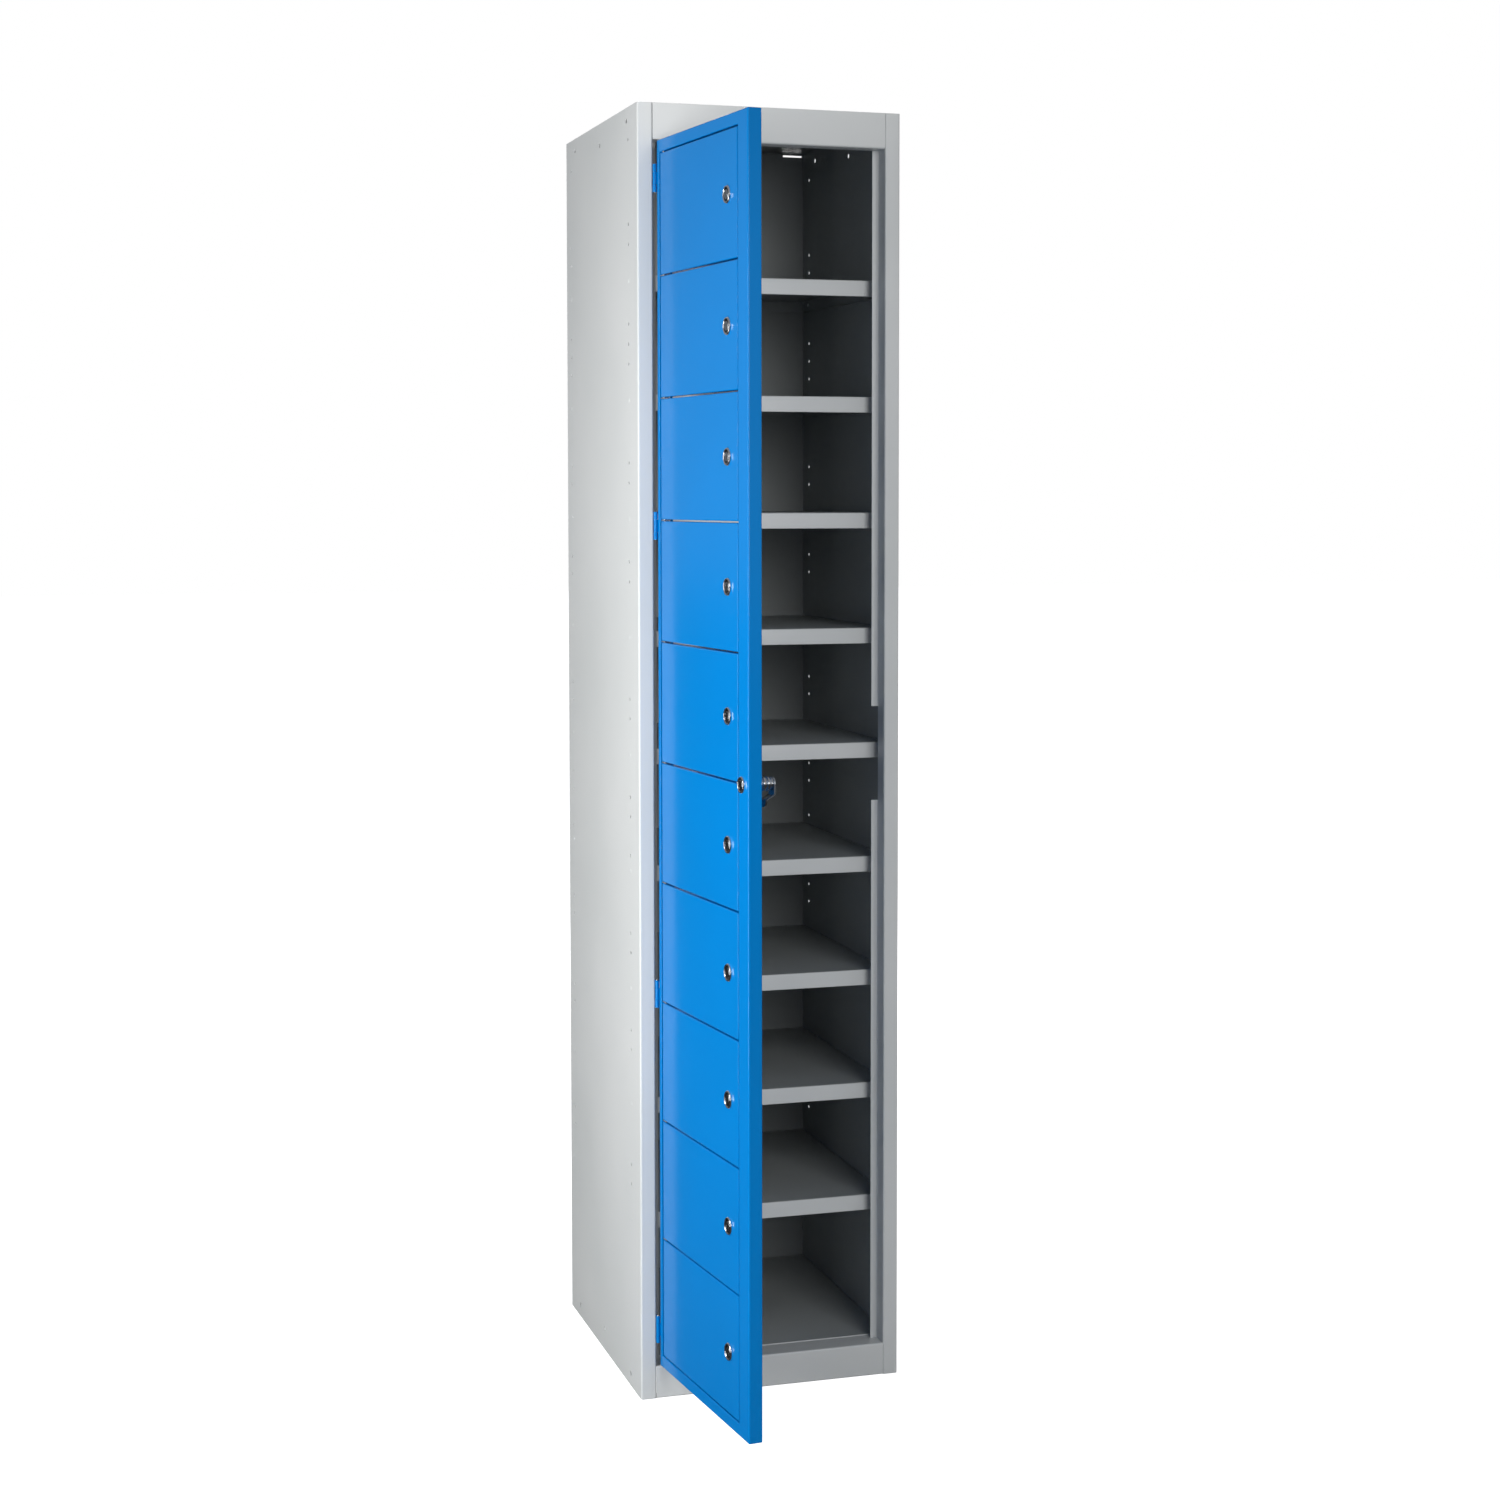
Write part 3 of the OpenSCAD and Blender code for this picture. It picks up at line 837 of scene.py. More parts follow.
    def lip_cuts(self, side: int) -> list[Shell]:
        """Cutters that end the stop lip at the opening, and open it beside the master lock."""
        jamb, t = -self.opening_left, self.sheet
        far = jamb - self.stop_lip - 2 * MM
        back = self.front + self.recess
        spans = [
            (-OVERSHOOT, self.opening_bottom, jamb + 2 * t),
            (self.opening_top, self.top + OVERSHOOT, jamb + 2 * t),
        ]
        if side > 0:
            half = self.notch / 2
            spans.append((self.notch_centre - half, self.notch_centre + half, jamb))
        cutters = []
        for low, high, near in spans:
            x = sorted([side * near, side * far])
            section = rectangle((x[0], back - 2.6 * t), (x[1], back + OVERSHOOT))
            cutters.append(swept(section, low, high, Lay.PLAN))
        x = sorted([side * (jamb + 3 * t), side * (jamb - 2 * MM)])
        top_edge = rectangle((x[0], self.front + 3 * t), (x[1], back + OVERSHOOT))
        cutters.append(swept(top_edge, self.top - t, self.top + OVERSHOOT, Lay.PLAN))
        return cutters

    def header(self) -> None:
        """The board above the opening, with its return under it."""
        t = self.sheet
        path = [
            [self.front + t / 2, self.top],
            [self.front + t / 2, self.opening_top + t / 2],
            [self.front + self.recess, self.opening_top + t / 2],
        ]
        section = folded_section(path, self.bend, t)
        shell = swept(section, self.opening_left, -self.opening_left, Lay.SIDE)
        Piece("header", shell, "carcass", Finish.GREY_COAT, Slot.GREY).make()

    def plinth(self) -> None:
        """The board below the opening, with its foot flange and the sill behind its top edge."""
        t, low_z = self.sheet, self.sheet / 2
        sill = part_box("plinth")[1].y
        path = [
            [self.front + self.foot_flange, low_z],
            [self.front + t / 2, low_z],
            [self.front + t / 2, self.opening_bottom - t / 2],
            [sill, self.opening_bottom - t / 2],
        ]
        section = folded_section(path, self.bend, t)
        shell = swept(section, self.opening_left, -self.opening_left, Lay.SIDE)
        Piece("plinth", shell, "carcass", Finish.GREY_COAT, Slot.GREY).make()

    def plate(self, name: str, lay: Lay, cutters: list[Shell]) -> bpy.types.Object:
        """A flat plate that fills a CAD node's box, its edges rounded a little.

        Args:
            name: The CAD node, and the piece's name.
            lay: PLAN for a level plate and FRONT for an upright one.
            cutters: What is cut out of it.

        Returns:
            The piece.
        """
        low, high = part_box(name)
        a, b, c = lay.value
        inset = np.array([0.2, 0.06, 0.0, 0.0, 0.06, 0.2]) * MM
        share = np.array([0.0, 0.06, 0.2, 0.8, 0.94, 1.0])
        level = low[c] + share * (high[c] - low[c])
        corners = (low[a], low[b]), (high[a], high[b])
        rings = ring_stack(zip(inset, level), *corners, self.plate_corner, 2)
        shell = stacked(rings[..., np.argsort(lay.value)])
        return Piece(name, shell, "carcass", Finish.GREY_COAT, Slot.GREY, cutters).make()

    def top_panel(self) -> None:
        """The top sheet. Its underside gets the darker grey that paints the shade under it."""
        panel = self.plate("top_panel", Lay.PLAN, [])
        # Painted shade: the underside gets the darker grey.
        paint_faces(panel, Finish.INNER_COAT, lambda centres, normals: normals[:, 2] < -0.5)

    def back_slot(self) -> Shell:
        """The cutter for the narrow slot at the back's top right, through sheet and flange."""
        low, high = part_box("back_panel")
        start_x, start_z = high.x - self.slot_inset, high.z - self.slot_drop
        end = (start_x + self.slot_width, start_z + self.slot_height)
        section = rectangle((start_x, start_z), end)
        return swept(section, low.y - OVERSHOOT, self.rear + OVERSHOOT, Lay.FRONT)

    def back_panel(self) -> None:
        """The back sheet, with the slot at its top right."""
        panel = self.plate("back_panel", Lay.FRONT, [self.back_slot()])
        # Painted shade: the face that looks into the locker gets the darker grey.
        paint_faces(panel, Finish.INNER_COAT, lambda centres, normals: normals[:, 1] < -0.5)

    def tray(self, name: str, depths: np.ndarray, returns: np.ndarray) -> Shell:
        """A sheet with its edges folded down, in a CAD node's box.

        The section runs from the top face over the fold, down the edge, in along the return
        and back up inside. Its depth and return differ from side to side.

        Args:
            name: The CAD node.
            depths: How deep the edge reaches at each point of the ring.
            returns: How far the return reaches in at each point of the ring.

        Returns:
            The shell.
        """
        low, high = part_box(name)
        t, bend, flat = self.sheet, self.tray_bend, self.flat_inset
        ones = np.ones(len(depths))
        phase = np.linspace(0, np.pi / 2, 5)
        stations = [(flat * ones, 0 * ones), ((bend + 0.4 * MM) * ones, 0 * ones)]
        stations += [(bend * (1 - np.sin(p)) * ones, bend * (1 - np.cos(p)) * ones) for p in phase]
        reach = np.maximum(depths, bend + 1.2 * MM)
        fold = np.where(returns > t, 0.8 * MM, 0.15 * MM)
        stations.append((0 * ones, reach - fold - 0.3 * MM))
        stations += [(fold * (1 - np.cos(p)), reach - fold * (1 - np.sin(p))) for p in phase]
        stations += [
            (returns - 0.1 * MM, reach),
            (returns, reach - 0.1 * MM),
            (returns, reach - t * 0.9),
            ((returns + t) / 2, reach - t),
            (t * ones, reach - 1.1 * t),
            (t * ones, (t + 0.6 * MM) * ones),
            ((t + 0.6 * MM) * ones, t * ones),
            (flat * ones, t * ones),
        ]
        levels = [(inset, high.z - depth) for inset, depth in stations]
        corners = (low.x, low.y), (high.x, high.y)
        return stacked(ring_stack(levels, *corners, self.tray_corner, 2))

    def shelf(self, number: int) -> None:
        """One shelf: a deep front lip with a return, shallower side and rear flanges.

        Args:
            number: The shelf, counted from the top.
        """
        name = f"shelf_{number}"
        depths = np.where(LOW_SIDE, self.shelf_lip, self.shelf_flange)
        returns = np.where(LOW_SIDE, self.shelf_return, self.sheet)
        shell = self.tray(name, depths, returns)
        shelf = Piece(name, shell, "carcass", Finish.GREY_COAT, Slot.INNER).make()
        lip_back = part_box(name)[0].y + 3 * MM
        # Painted shade: the top behind the lip gets the darker grey.
        paint_faces(shelf, Finish.INNER_COAT, lambda centres, normals: centres[:, 1] > lip_back)

    def floor_panel(self) -> None:
        """The floor: a sheet with its sides and rear folded down, and a plain front edge."""
        depths = np.where(LOW_SIDE, self.floor_edge, self.floor_flange)
        returns = np.full(len(depths), self.sheet)
        shell = self.tray("floor_panel", depths, returns)
        low_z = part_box("floor_panel")[0].z
        shell.points[:, 2] = np.maximum(shell.points[:, 2], low_z)
        panel = Piece("floor_panel", shell, "carcass", Finish.GREY_COAT, Slot.INNER).make()
        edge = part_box("floor_panel")[0].y + 2.5 * MM
        # Painted shade: the floor behind its front edge gets the darker grey.
        paint_faces(panel, Finish.INNER_COAT, lambda centres, normals: centres[:, 1] > edge)

    def rivets(self) -> None:
        """Domed rivets that hold the shelves: head outside, shank, upset tail inside.

        The head is a cap of a sphere: its radius falls as the cosine of the rise.
        """
        rise = np.linspace(0, np.pi / 2, 6)[::-1]
        dome = [self.rivet_head * np.cos(rise) + 0.02 * MM, -self.rivet_dome * np.sin(rise)]
        shank = [[1.9, 0.0], [1.9, 2.2], [2.6, 2.25], [2.75, 2.6], [2.4, 3.1], [0.05, 3.2]]
        one = revolved(np.concatenate([np.stack(dome, axis=1), np.array(shank) * MM]), 16)
        places = [
            (side, y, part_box(f"shelf_{number}")[1].z - self.rivet_drop)
            for number in range(1, self.shelf_count + 1)
            for y in (self.front + self.hole_front, self.front + self.hole_rear)
            for side in (-1, 1)
        ]
        shells = [
            one.moved(
                lambda p, side=side, y=y, z=z: np.stack(
                    [side * (-self.left - p[:, 1]), y + p[:, 0], z + p[:, 2]], axis=1
                )
            )
            for side, y, z in places
        ]
        Piece("shelf_rivets", together(shells), "carcass", Finish.GREY_COAT, Slot.STEEL).make()


# Doors


@dataclass
class MasterDoor:
    """The big door: a folded frame with one tall window, hinges and the seams' plates."""

    sheet: float = 1.0 * MM
    width: float = 329.3 * MM
    depth: float = 19.3 * MM
    hinge_gap: float = 4.4 * MM
    hinge_stile: float = 8.5 * MM
    lock_stile: float = 33.2 * MM
    top_rail: float = 16.9 * MM
    bottom_rail: float = 16.4 * MM
    stop_depth: float = 14.5 * MM
    stop_width: float = 10.0 * MM
    back_lip: float = 9.0 * MM
    lock_s: float = 307.6 * MM
    barrel: float = 9.05 * MM
    corner: float = 1.0 * MM
    window_corner: float = 0.6 * MM

    def __post_init__(self) -> None:
        """Reads the hinge axis and the angle that the door stands open at."""
        joint = next(j for j in frame["joints"] if j["name"] == "master_door_swing")
        self.axis = np.array(joint["pos_m"][:2])
        self.open_angle = np.radians(joint["range_deg"][0])
        self.hinge_edge = self.axis[0] + self.hinge_gap / 2
        self.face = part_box("header")[0].y
        low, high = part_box("master_hinge_stile")
        self.bottom, self.top = low.z, high.z

    def turned(self, points: np.ndarray) -> np.ndarray:
        """Turns points of the shut door about the hinge axis to where the door stands."""
        flat = rotated(points[:, :2] - self.axis, np.full(len(points), self.open_angle))
        return np.concatenate([flat + self.axis, points[:, 2:]], axis=1)

    def swung(self, points: np.ndarray) -> np.ndarray:
        """Moves points from the door's own s, d, z into the frame.

        s runs from the hinge edge to the free edge and d from the face to the back. The
        point is laid on the shut door and turned about the hinge axis.
        """
        return self.turned(points + np.array([self.hinge_edge, self.face, 0.0]))

    def build(self) -> None:
        """Builds and dresses the door's own pieces."""
        self.frame_piece()
        dress_node("pivot_plates", Finish.ZINC)
        dress_node("pivot_pins", Finish.STEEL)

    def frame_piece(self) -> None:
        """The frame, folded from one sheet with a window in it.

        Rings run round the door's outer edge and then round the window, and the last joins
        the first, so the section closes: face, outer edge, back lip and back again inside,
        then the window's edge with the stop that the small doors shut against.
        """
        t, depth, stop = self.sheet, self.depth, self.stop_depth
        pad = 4.2 * MM
        outer = filleted(
            [[pad, 0], [0, 0], [0, depth], [self.back_lip, depth], [self.back_lip, depth - t],
             [t, depth - t], [t, t], [pad, t]],
            np.array([0, 1.9, 1.6, 0.3, 0.3, 0.6, 0.8, 0]) * MM,
            closed=False,
        )
        inner = filleted(
            [[-pad, t], [-t, t], [-t, stop + t], [self.stop_width, stop + t],
             [self.stop_width, stop], [0, stop], [0, 0], [-pad, 0]],
            np.array([0, 0.4, 1.2, 0.3, 0.3, 0.3, 1.3, 0]) * MM,
            closed=False,
        )
        window_low = (self.hinge_stile, self.bottom + self.bottom_rail)
        window_high = (self.width - self.lock_stile, self.top - self.top_rail)
        parts = [
            (outer, (0.0, self.bottom), (self.width, self.top), self.corner),
            (inner, window_low, window_high, self.window_corner),
        ]
        rings = np.concatenate([ring_stack(*part, 1) for part in parts])
        lock_z = sum(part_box("master_lock_body"), Vector()).z / 2
        hole = swept(circle((self.lock_s, lock_z), self.barrel, FINE_STEPS), *THROUGH, Lay.FRONT)
        Piece(
            "master_door_frame",
            stacked(rings, looped=True).moved(self.swung),
            "master_door",
            Finish.BLUE_COAT,
            Slot.BLUE,
            [hole.moved(self.swung)],
            ("master_hinge_stile", "master_lock_stile", "master_top_rail", "master_bottom_rail"),
        ).make()


@dataclass
class Hinges:
    """The master door's four butt hinges, with knuckles that stand in the gap."""

    door: MasterDoor
    height: float = 38.0 * MM
    side_knuckle: float = 10.0 * MM
    slack: float = 0.35 * MM
    leaf: float = 1.2 * MM
    leaf_start: float = 1.2 * MM
    fixed_leaf: float = 19.0 * MM
    moving_leaf: float = 16.5 * MM
    knuckle: float = 2.6 * MM
    pin: float = 1.2 * MM
    outer_offset: float = 799.0 * MM
    inner_offset: float = 325.0 * MM
    curl_degrees: float = 300.0

    def build(self) -> None:
        """Builds both sets of leaves and the pins."""
        middle = (self.door.bottom + self.door.top) / 2
        offsets = (-self.outer_offset, -self.inner_offset, self.inner_offset, self.outer_offset)
        heights = [middle + o for o in offsets]
        half = self.height / 2
        ends = [(-half, -half + self.side_knuckle), (half - self.side_knuckle, half)]
        centre = half - self.side_knuckle - self.slack
        fixed = self.leaves(heights, -1, self.fixed_leaf, ends)
        moving = self.leaves(heights, 1, self.moving_leaf, [(-centre, centre)])
        moving = moving.moved(self.door.turned)
        Piece("hinge_leaves_fixed", fixed, "carcass", Finish.BLUE_COAT, Slot.BLUE).make()
        Piece("hinge_leaves_moving", moving, "master_door", Finish.BLUE_COAT, Slot.BLUE).make()
        self.pins(heights)

    def leaves(
        self, heights: list[float], side: int, width: float, knuckles: list[tuple[float, float]]
    ) -> Shell:
        """Flat leaves with knuckles rolled round the pin.

        A knuckle's strip follows a circle round the pin from just beside its leaf, most of a
        turn, and then runs straight into the leaf. Its faces are half a thickness to each side.

        Args:
            heights: The hinges' mid-heights.
            side: -1 for the carcass's leaves and +1 for the door's.
            width: How far a leaf reaches back from the front.
            knuckles: Bottom and top of each knuckle, from the hinge's middle.

        Returns:
            All the leaves as one shell.
        """
        axis = self.door.axis
        t = self.leaf
        gap_edge = axis[0] + side * self.door.hinge_gap / 2
        leaf_x = gap_edge - side * t / 2
        start_y = self.door.face + self.leaf_start
        middle_r = self.knuckle - t / 2
        join = np.arccos(abs(leaf_x - axis[0]) / middle_r)
        sweep = np.linspace(join, join - np.radians(self.curl_degrees), 25)[::-1]
        curl = axis + middle_r * np.stack([side * np.cos(sweep), np.sin(sweep)], axis=1)
        run = np.array([[leaf_x, axis[1] + 2.2 * MM], [leaf_x, start_y + 2 * MM]])
        middle = np.concatenate([curl, run])
        ways = np.gradient(middle, axis=0)
        ways = ways / np.linalg.norm(ways, axis=1)[:, None]
        offset = rotated(ways, np.full(len(ways), np.pi / 2)) * t / 2
        strip = np.concatenate([middle + offset, (middle - offset)[::-1]])
        plate = filleted(
            rectangle((leaf_x - t / 2, start_y), (leaf_x + t / 2, start_y + width)),
            0.25 * MM,
            closed=True,
        )
        half = self.height / 2
        shells = []
        for z in heights:
            shells.append(swept(plate, z - half, z + half, Lay.PLAN))
            shells += [swept(strip, z + low, z + high, Lay.PLAN) for low, high in knuckles]
        return together(shells)

    def pins(self, heights: list[float]) -> None:
        """Headed pins: a shank with a chamfered foot and a domed head."""
        half, r = self.height / 2, self.pin
        head = self.knuckle - 0.4 * MM
        profile = np.array(
            [
                [LEAST_RADIUS, -half - 0.5 * MM],
                [r - 0.2 * MM, -half - 0.5 * MM],
                [r, -half - 0.2 * MM],
                [r, half + 0.1 * MM],
                [head - 0.1 * MM, half + 0.1 * MM],
                [head, half + 0.3 * MM],
                [head * 0.9, half + 0.8 * MM],
                [head * 0.6, half + 1.05 * MM],
                [LEAST_RADIUS, half + 1.1 * MM],
            ]
        )
        one = revolved(profile, 20)
        axis = self.door.axis
        shells = [
            one.moved(
                lambda p, z=z: np.stack(
                    [axis[0] + p[:, 0], axis[1] + p[:, 2], z + p[:, 1]], axis=1
                )
            )
            for z in heights
        ]
        Piece("hinge_pins", together(shells), "carcass", Finish.STEEL, Slot.STEEL).make()


@dataclass
class SmallDoor:
    """One small door: a folded tray, drilled for its two pivot pins and its lock."""

    door: MasterDoor
    number: int
    sheet: float = 1.0 * MM
    gap: float = 2.2 * MM
    pivot_gap: float = 5.2 * MM
    depth: float = 13.0 * MM
    lip: float = 8.0 * MM
    pivot_inset: float = 4.1 * MM
    pivot_hole: float = 2.05 * MM
    lock_s: float = 261.2 * MM
    barrel: float = 9.05 * MM
    corner: float = 1.4 * MM

    def build(self) -> None:
        """Builds the tray.

        Rings run round the door, and the section goes from the face over its edge, along the
        side, in along the lip, and back inside to the face's rear.
        """
        name = f"small_door_{self.number}"
        low_z, high_z = (corner.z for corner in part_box(name))
        low_s = self.door.hinge_stile + self.pivot_gap
        high_s = self.door.width - self.door.lock_stile - self.gap
        t, depth, pad = self.sheet, self.depth, 3.6 * MM
        section = filleted(
            [[pad, 0], [0, 0], [0, depth], [self.lip, depth], [self.lip, depth - t],
             [t, depth - t], [t, t], [pad, t]],
            np.array([0, 1.5, 1.3, 0.3, 0.3, 0.5, 0.6, 0]) * MM,
            closed=False,
        )
        rings = ring_stack(section, (low_s, low_z), (high_s, high_z), self.corner, 1)
        middle_z = (low_z + high_z) / 2
        lock = swept(circle((self.lock_s, middle_z), self.barrel, FINE_STEPS), *THROUGH, Lay.FRONT)
        pivot = swept(
            circle((low_s + self.pivot_inset, self.pivot_inset), self.pivot_hole),
            low_z - OVERSHOOT,
            high_z + OVERSHOOT,
            Lay.PLAN,
        )
        swung = self.door.swung
        shell, cutters = stacked(rings).moved(swung), [lock.moved(swung), pivot.moved(swung)]
        Piece(name, shell, name, Finish.BLUE_COAT, Slot.BLUE, cutters).make()


# Locks


@dataclass
class Lock:
    """A cam lock: dished chrome head, threaded barrel, ring nut, turning plug and cam."""

    door: MasterDoor
    body_node: str
    cam_node: str
    carrier: str
    turner: str
    s: float
    head: float
    barrel_length: float
    nut: float
    cam_length: float
    cam_width: float
    cam_thickness: float
    crank: float = 0.0
    screw_rise: float = 3.0 * MM
    collars: tuple[tuple[float, float], ...] = ()
    barrel: float = 9.0 * MM
    bore: float = 6.55 * MM
    plug: float = 6.5 * MM
    proud: float = 2.6 * MM
    thread_pitch: float = 1.5 * MM
    thread_depth: float = 0.5 * MM
    nut_depth: float = 4.0 * MM
    cam_gap: float = 0.4 * MM
    crank_start: float = 12.5 * MM
    crank_end: float = 21.5 * MM

    def __post_init__(self) -> None:
        """Reads the lock's height from its CAD node."""
        low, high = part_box(self.body_node)
        self.z = (low.z + high.z) / 2

    def placed(self, shell: Shell) -> Shell:
        """Moves a shell drawn about the lock's axis to its place on the door."""
        shift = np.array([self.s, 0.0, self.z])
        return shell.moved(lambda p: self.door.swung(p + shift))

    def build(self) -> None:
        """Builds the fixed and the turning piece."""
        fixed = self.head_shell().joined(self.barrel_shell(), self.nut_shell(), *self.collar_shells())
        fixed = self.placed(fixed)
        body = Piece(self.body_node, fixed, self.carrier, Finish.CHROME, Slot.CHROME).make()
        self.darken_dish(body)
        turning = self.placed(self.plug_shell().joined(self.cam_shell(), self.screw_shell()))
        slots = [self.placed(self.key_slot())]
        Piece(self.cam_node, turning, self.turner, Finish.ZINC, Slot.ZINC, slots).make()

    def head_shell(self) -> Shell:
        """The head, a ring turned from a filleted section: rim, dish and flat back."""
        proud, rim = self.proud, self.head
        corners = np.array(
            [
                [self.bore, 0.02 * MM],
                [self.bore, -0.9 * MM],
                [self.bore + 0.4 * MM, -1.0 * MM],
                [rim - 3.0 * MM, -1.5 * MM],
                [rim - 2.2 * MM, -proud],
                [rim - 0.9 * MM, -proud],
                [rim, -proud * 0.45],
                [rim, 0.02 * MM],
            ]
        )
        radii = np.array([0.1, 0.1, 0.1, 0.25, 0.3, 0.35, 0.4, 0.1]) * MM
        return revolved(filleted(corners, radii, closed=True, steps=4), FINE_STEPS, looped=True)

    def darken_dish(self, body: bpy.types.Object) -> None:
        """Gives the floor of the head's dish its dark finish."""
        centre = self.door.swung(np.array([[self.s, 0.0, self.z]]))[0]
        out = self.door.swung(np.array([[self.s, -1.0, self.z]]))[0] - centre
        rim = self.head - 2.8 * MM

        def dish(centres: np.ndarray, normals: np.ndarray) -> np.ndarray:
            """Faces in front of the door, nearer the axis than the rim."""
            offset = centres - centre
            height = offset @ out
            radius = np.linalg.norm(offset - height[:, None] * out, axis=1)
            return (height > 0.1 * MM) & (radius < rim)

        paint_faces(body, Finish.BLACK_ZINC, dish)

    def barrel_shell(self) -> Shell:
        """The barrel: a tube whose outside is a thread.

        At depth d and angle a the outside lies below the crest by the thread's depth times
        (1 - cos(2 pi d / pitch - a)) / 2, faded out at both ends. The inside is plain.
        """
        steps, length = 32, self.barrel_length
        rows = int(length / self.thread_pitch * 6)
        depth = np.linspace(0.3 * MM, length, rows)
        angle = turn_angles(steps)
        wave = 0.5 - 0.5 * np.cos(2 * np.pi * depth[:, None] / self.thread_pitch - angle)
        fade = np.clip((length - depth) / self.thread_pitch, 0, 1)[:, None]
        outer = self.barrel - self.thread_depth * (wave * fade + (1 - fade))
        inner = np.full((2, steps), self.bore)
        radius = np.concatenate([outer, inner])
        depths = np.concatenate([depth, [length, 0.3 * MM]])
        profile = np.stack([np.ones(len(depths)), depths], axis=1)
        return revolved(profile, steps, looped=True, shape=radius)

    def nut_shell(self) -> Shell:
        """The ring nut: a chamfered ring with six rounded slots for a spanner.

        The outside radius dips by a tenth of a cosine's sixth power, six times a turn.
        """
        steps, start = 72, self.sheet_back()
        end = start + self.nut_depth
        angle = turn_angles(steps)
        dip = 1.0 - 0.1 * np.maximum(np.cos(6 * angle), 0) ** 6
        radius = np.array([self.barrel, self.nut - 0.5 * MM, self.nut, self.nut,
                           self.nut - 0.5 * MM, self.barrel])
        depth = np.array([start, start, start + 0.5 * MM, end - 0.5 * MM, end, end])
        shape = np.ones((6, steps))
        shape[1:5] = dip
        return revolved(np.stack([radius, depth], axis=1), steps, looped=True, shape=shape)

    def sheet_back(self) -> float:
        """Depth at which the nut meets the back of the door's sheet."""
        return self.door.sheet + 0.05 * MM

    def collar_shells(self) -> list[Shell]:
        """Collars near a long barrel's end, each a chamfered ring."""
        shells = []
        for low, high in self.collars:
            corners = [
                [self.barrel - 0.4 * MM, low],
                [self.barrel + 0.5 * MM, low],
                [self.barrel + 0.5 * MM, high],
                [self.barrel - 0.4 * MM, high],
            ]
            section = filleted(corners, 0.2 * MM, closed=True, steps=4)
            shells.append(revolved(section, FINE_STEPS, looped=True))
        return shells

    def plug_shell(self) -> Shell:
        """The plug: a rod with a chamfered face set just inside the head's rim."""
        face, end = 0.4 * MM - self.proud, self.barrel_length + self.cam_gap + 0.2 * MM
        corners = np.array(
            [[LEAST_RADIUS, face], [self.plug, face], [self.plug, end], [LEAST_RADIUS, end]]
        )
        profile = filleted(corners, np.array([0, 0.5, 0.2, 0]) * MM, closed=False, steps=4)
        return revolved(profile, 40)

    def key_slot(self) -> Shell:
        """The cutter for the key slot, upright in the plug's face."""
        slot = filleted(
            rectangle((-0.8 * MM, -4.0 * MM), (0.8 * MM, 4.0 * MM)), 0.35 * MM, closed=True, steps=3
        )
        return swept(slot, -self.proud - 1 * MM, -self.proud + 5 * MM, Lay.FRONT)

    def cam_shell(self) -> Shell:
        """The cam: a strap with round ends that hangs from the plug, stepped if cranked.

        A station at height h below the axis has half the width w(h), which at the ends is
        a quarter circle, and lies forward by the crank times a smooth step of h.
        """
        half, t = self.cam_width / 2, self.cam_thickness
        phase = np.linspace(0, np.pi / 2, 9)
        top = half * np.sin(phase)[::-1]
        tip = self.cam_length - half + half * np.sin(phase)
        body = np.linspace(0, self.cam_length - half, 26)[1:-1]
        height = np.concatenate([-top, body, tip])
        width = np.concatenate(
            [half * np.cos(phase)[::-1], np.full(len(body), half), half * np.cos(phase)]
        )
        width = np.maximum(width, 0.15 * MM)
        share = np.clip((height - self.crank_start) / (self.crank_end - self.crank_start), 0, 1)
        forward = self.crank * share * share * (3 - 2 * share)
        near = self.barrel_length + self.cam_gap
        bevel = min(0.3 * MM, t / 4)
        across = np.array([-1, -1, -1, 1, 1, 1, 1, -1])
        trim = np.array([0, 0, bevel, bevel, 0, 0, bevel, bevel])
        deep = np.array([t - bevel, bevel, 0, 0, bevel, t - bevel, t, t])
        side = across * np.maximum(width[:, None] - trim, 0.1 * MM)
        depth = near + deep - forward[:, None]
        drop = np.broadcast_to(-height[:, None], side.shape)
        return stacked(np.stack([side, depth, drop], axis=-1))

    def screw_shell(self) -> Shell:
        """The hexagon screw that holds the cam: flats by dividing the radius by the cosine."""
        steps = FINE_STEPS
        start = self.barrel_length + self.cam_gap + self.cam_thickness - 0.05 * MM
        end = start + self.screw_rise
        angle = turn_angles(steps)
        sector = (angle + np.pi / 6) % (np.pi / 3) - np.pi / 6
        flats = np.minimum(0.87 / np.cos(sector), 1.0)
        edge = min(0.4 * MM, self.screw_rise / 3)
        profile = np.array(
            [[LEAST_RADIUS, start], [4.5 * MM, start], [4.5 * MM, end - edge], [3.9 * MM, end],
             [LEAST_RADIUS, end]]
        )
        shape = np.ones((5, steps))
        shape[1:3] = flats
        return revolved(profile, steps, shape=shape)


@dataclass
class Locks:
    """All eleven locks: ten small ones and the master."""

    door: MasterDoor
    count: int = SMALL_DOORS

    def build(self) -> None:
        """Builds each lock."""
        for number in range(1, self.count + 1):
            Lock(
                self.door,
                f"lock_body_{number}",
                f"lock_cam_{number}",
                f"small_door_{number}",
                f"small_cam_{number}",
                s=261.2 * MM,
                head=11.75 * MM,
                barrel_length=19.8 * MM,
                nut=12.0 * MM,
                cam_length=41.0 * MM,
                cam_width=16.0 * MM,
                cam_thickness=2.4 * MM,
            ).build()
        Lock(
            self.door,
            "master_lock_body",
            "master_lock_cam",
            "master_door",
            "master_cam",
            s=307.6 * MM,
            head=11.0 * MM,
            barrel_length=40.0 * MM,
            nut=10.0 * MM,
            cam_length=30.0 * MM,
            cam_width=18.0 * MM,
            cam_thickness=3.0 * MM,
            crank=11.6 * MM,
            screw_rise=0.8 * MM,
            collars=((27.6 * MM, 30.2 * MM), (33.4 * MM, 35.4 * MM)),
        ).build()


# Studio


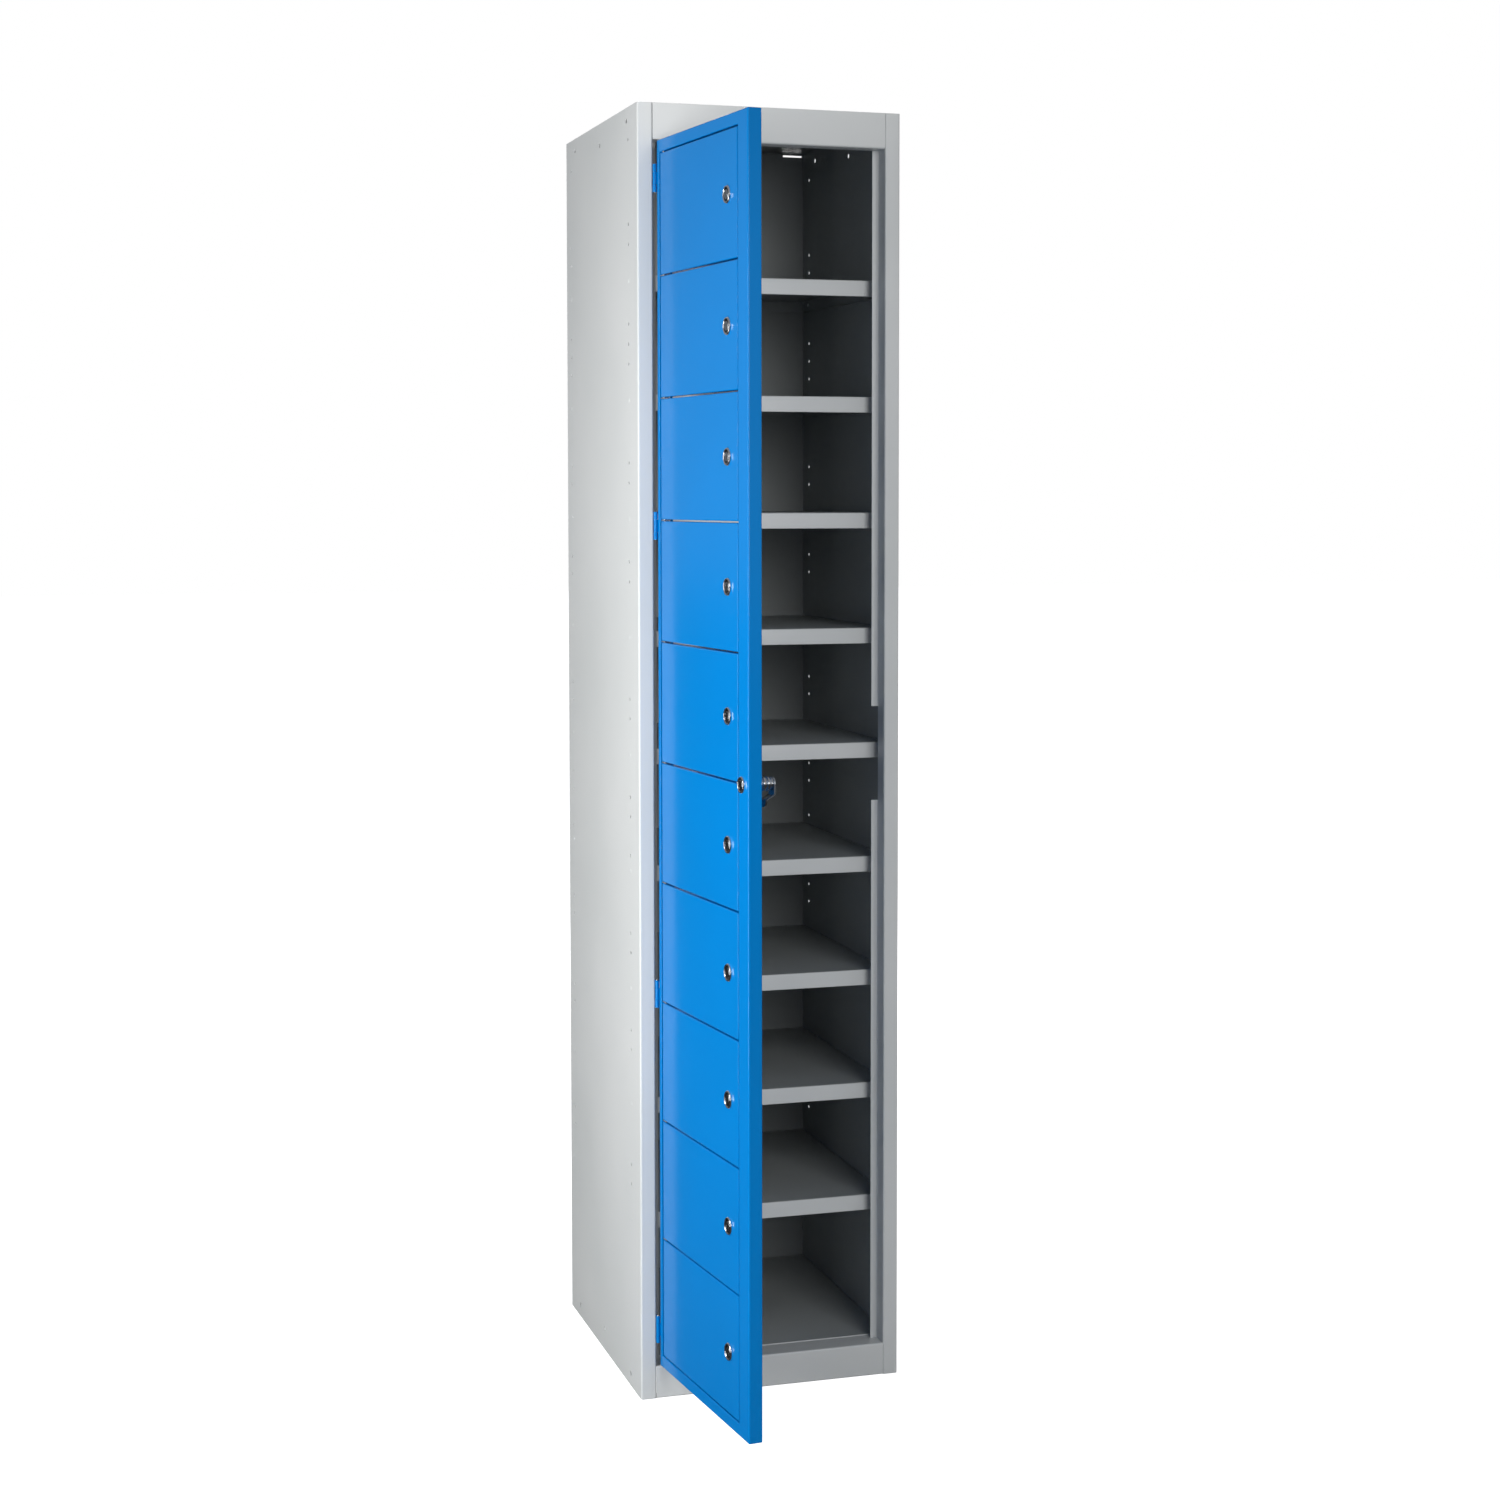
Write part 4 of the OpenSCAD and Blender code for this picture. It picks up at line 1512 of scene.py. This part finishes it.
@dataclass
class Studio:
    """Plain pale floor, soft boxes at the left, the front and the rear, and the camera."""

    camera_place: tuple[float, float, float] = (-1.0426, -3.6705, 1.2643)
    camera_tilt: float = 86.702
    camera_turn: float = -17.354
    lens: float = 61.859
    shift: tuple[float, float] = (-0.0294, -0.0704)
    floor_size: float = 60.0

    def build(self) -> None:
        """Builds the stage, the lights and the camera."""
        self.camera()
        self.floor()
        self.world()
        self.soft_box("key_light", (-1.3, -0.8, 1.0), (-0.1, -0.3, 1.0), (0.6, 1.6), 25.0)
        self.soft_box("front_light", (0.4, -4.0, 1.9), (0.0, -0.2, 0.9), (1.6, 1.6), 51.0)
        self.soft_box("rear_light", (1.5, 3.4, 2.2), (0.0, 0.2, 0.9), (1.8, 1.8), 60.0)

    def camera(self) -> None:
        """Makes the camera."""
        data = bpy.data.cameras.new("camera")
        data.lens = self.lens
        data.sensor_width = 36.0
        data.shift_x, data.shift_y = self.shift
        data.clip_start, data.clip_end = 0.05, 200.0
        camera = new_object("camera", data)
        camera.location = self.camera_place
        camera.rotation_euler = (np.radians(self.camera_tilt), 0.0, np.radians(self.camera_turn))
        bpy.context.scene.camera = camera

    def soft_box(
        self,
        name: str,
        place: tuple[float, float, float],
        target: tuple[float, float, float],
        size: tuple[float, float],
        power: float,
    ) -> None:
        """Makes one soft box that looks at a point.

        Args:
            name: The light's name.
            place: Where it stands.
            target: The point it looks at.
            size: Its width and its height.
            power: Its power in watts.
        """
        data = bpy.data.lights.new(name, "AREA")
        data.shape = "RECTANGLE"
        data.size, data.size_y = size
        data.energy = power
        light = new_object(name, data)
        light.location = place
        way = Vector(target) - Vector(place)
        light.rotation_euler = way.to_track_quat("-Z", "Y").to_euler()

    def floor(self) -> None:
        """Makes the floor: white to the camera, pale as a surface, dark in reflections."""
        half = self.floor_size / 2
        mesh = bpy.data.meshes.new("studio_floor")
        corners = rectangle((-half, -half), (half, half))
        points = np.insert(corners, 2, -0.5 * MM, axis=1)
        mesh.from_pydata(points.tolist(), [], [(0, 1, 2, 3)])
        material, tree = blank_material("pale_matt_floor")
        path = add_node(tree, "ShaderNodeLightPath")
        pale = add_node(
            tree,
            "ShaderNodeBsdfPrincipled",
            {
                "Base Color": linear_colour("#dcdcdc"),
                "Roughness": 0.9,
                "Specular IOR Level": 0.1,
                "Emission Color": (1.0, 1.0, 1.0, 1.0),
            },
            {"Emission Strength": path.outputs["Is Camera Ray"]},
        )
        dark = add_node(tree, "ShaderNodeBsdfDiffuse", {"Color": linear_colour("#3c3c3c")})
        mixed = add_node(tree, "ShaderNodeMixShader", {}, {"Fac": path.outputs["Is Glossy Ray"]})
        tree.links.new(pale.outputs["BSDF"], mixed.inputs[1])
        tree.links.new(dark.outputs["BSDF"], mixed.inputs[2])
        add_node(tree, "ShaderNodeOutputMaterial", {}, {"Surface": mixed.outputs["Shader"]})
        mesh.materials.append(material)
        new_object("studio_floor", mesh)

    def world(self) -> None:
        """Makes the surroundings: white behind the locker, a weak even light elsewhere."""
        world = bpy.data.worlds.new("studio")
        bpy.context.scene.world = world
        world.use_nodes = True
        tree = world.node_tree
        tree.nodes.clear()
        path = add_node(tree, "ShaderNodeLightPath")
        sky, white = linear_colour("#f6f9ff"), (1.0, 1.0, 1.0, 1.0)
        kinds = {"glow": (0.26, sky), "dim": (0.25, sky), "backdrop": (1.0, white)}
        looks = {
            name: add_node(tree, "ShaderNodeBackground", {"Strength": strength, "Color": colour})
            for name, (strength, colour) in kinds.items()
        }
        mirrored = add_node(tree, "ShaderNodeMixShader", {}, {"Fac": path.outputs["Is Glossy Ray"]})
        tree.links.new(looks["glow"].outputs["Background"], mirrored.inputs[1])
        tree.links.new(looks["dim"].outputs["Background"], mirrored.inputs[2])
        seen = add_node(tree, "ShaderNodeMixShader", {}, {"Fac": path.outputs["Is Camera Ray"]})
        tree.links.new(mirrored.outputs["Shader"], seen.inputs[1])
        tree.links.new(looks["backdrop"].outputs["Background"], seen.inputs[2])
        add_node(tree, "ShaderNodeOutputWorld", {}, {"Surface": seen.outputs["Shader"]})


def main() -> None:
    """Builds the locker and its studio, in order."""
    logging.basicConfig(level=logging.INFO, format="%(message)s")
    bpy.context.scene.view_settings.view_transform = "Standard"
    door = MasterDoor()
    Studio().build()
    Carcass().build()
    door.build()
    Hinges(door).build()
    for number in range(1, SMALL_DOORS + 1):
        SmallDoor(door, number).build()
    Locks(door).build()


if __name__ == "__main__":
    main()
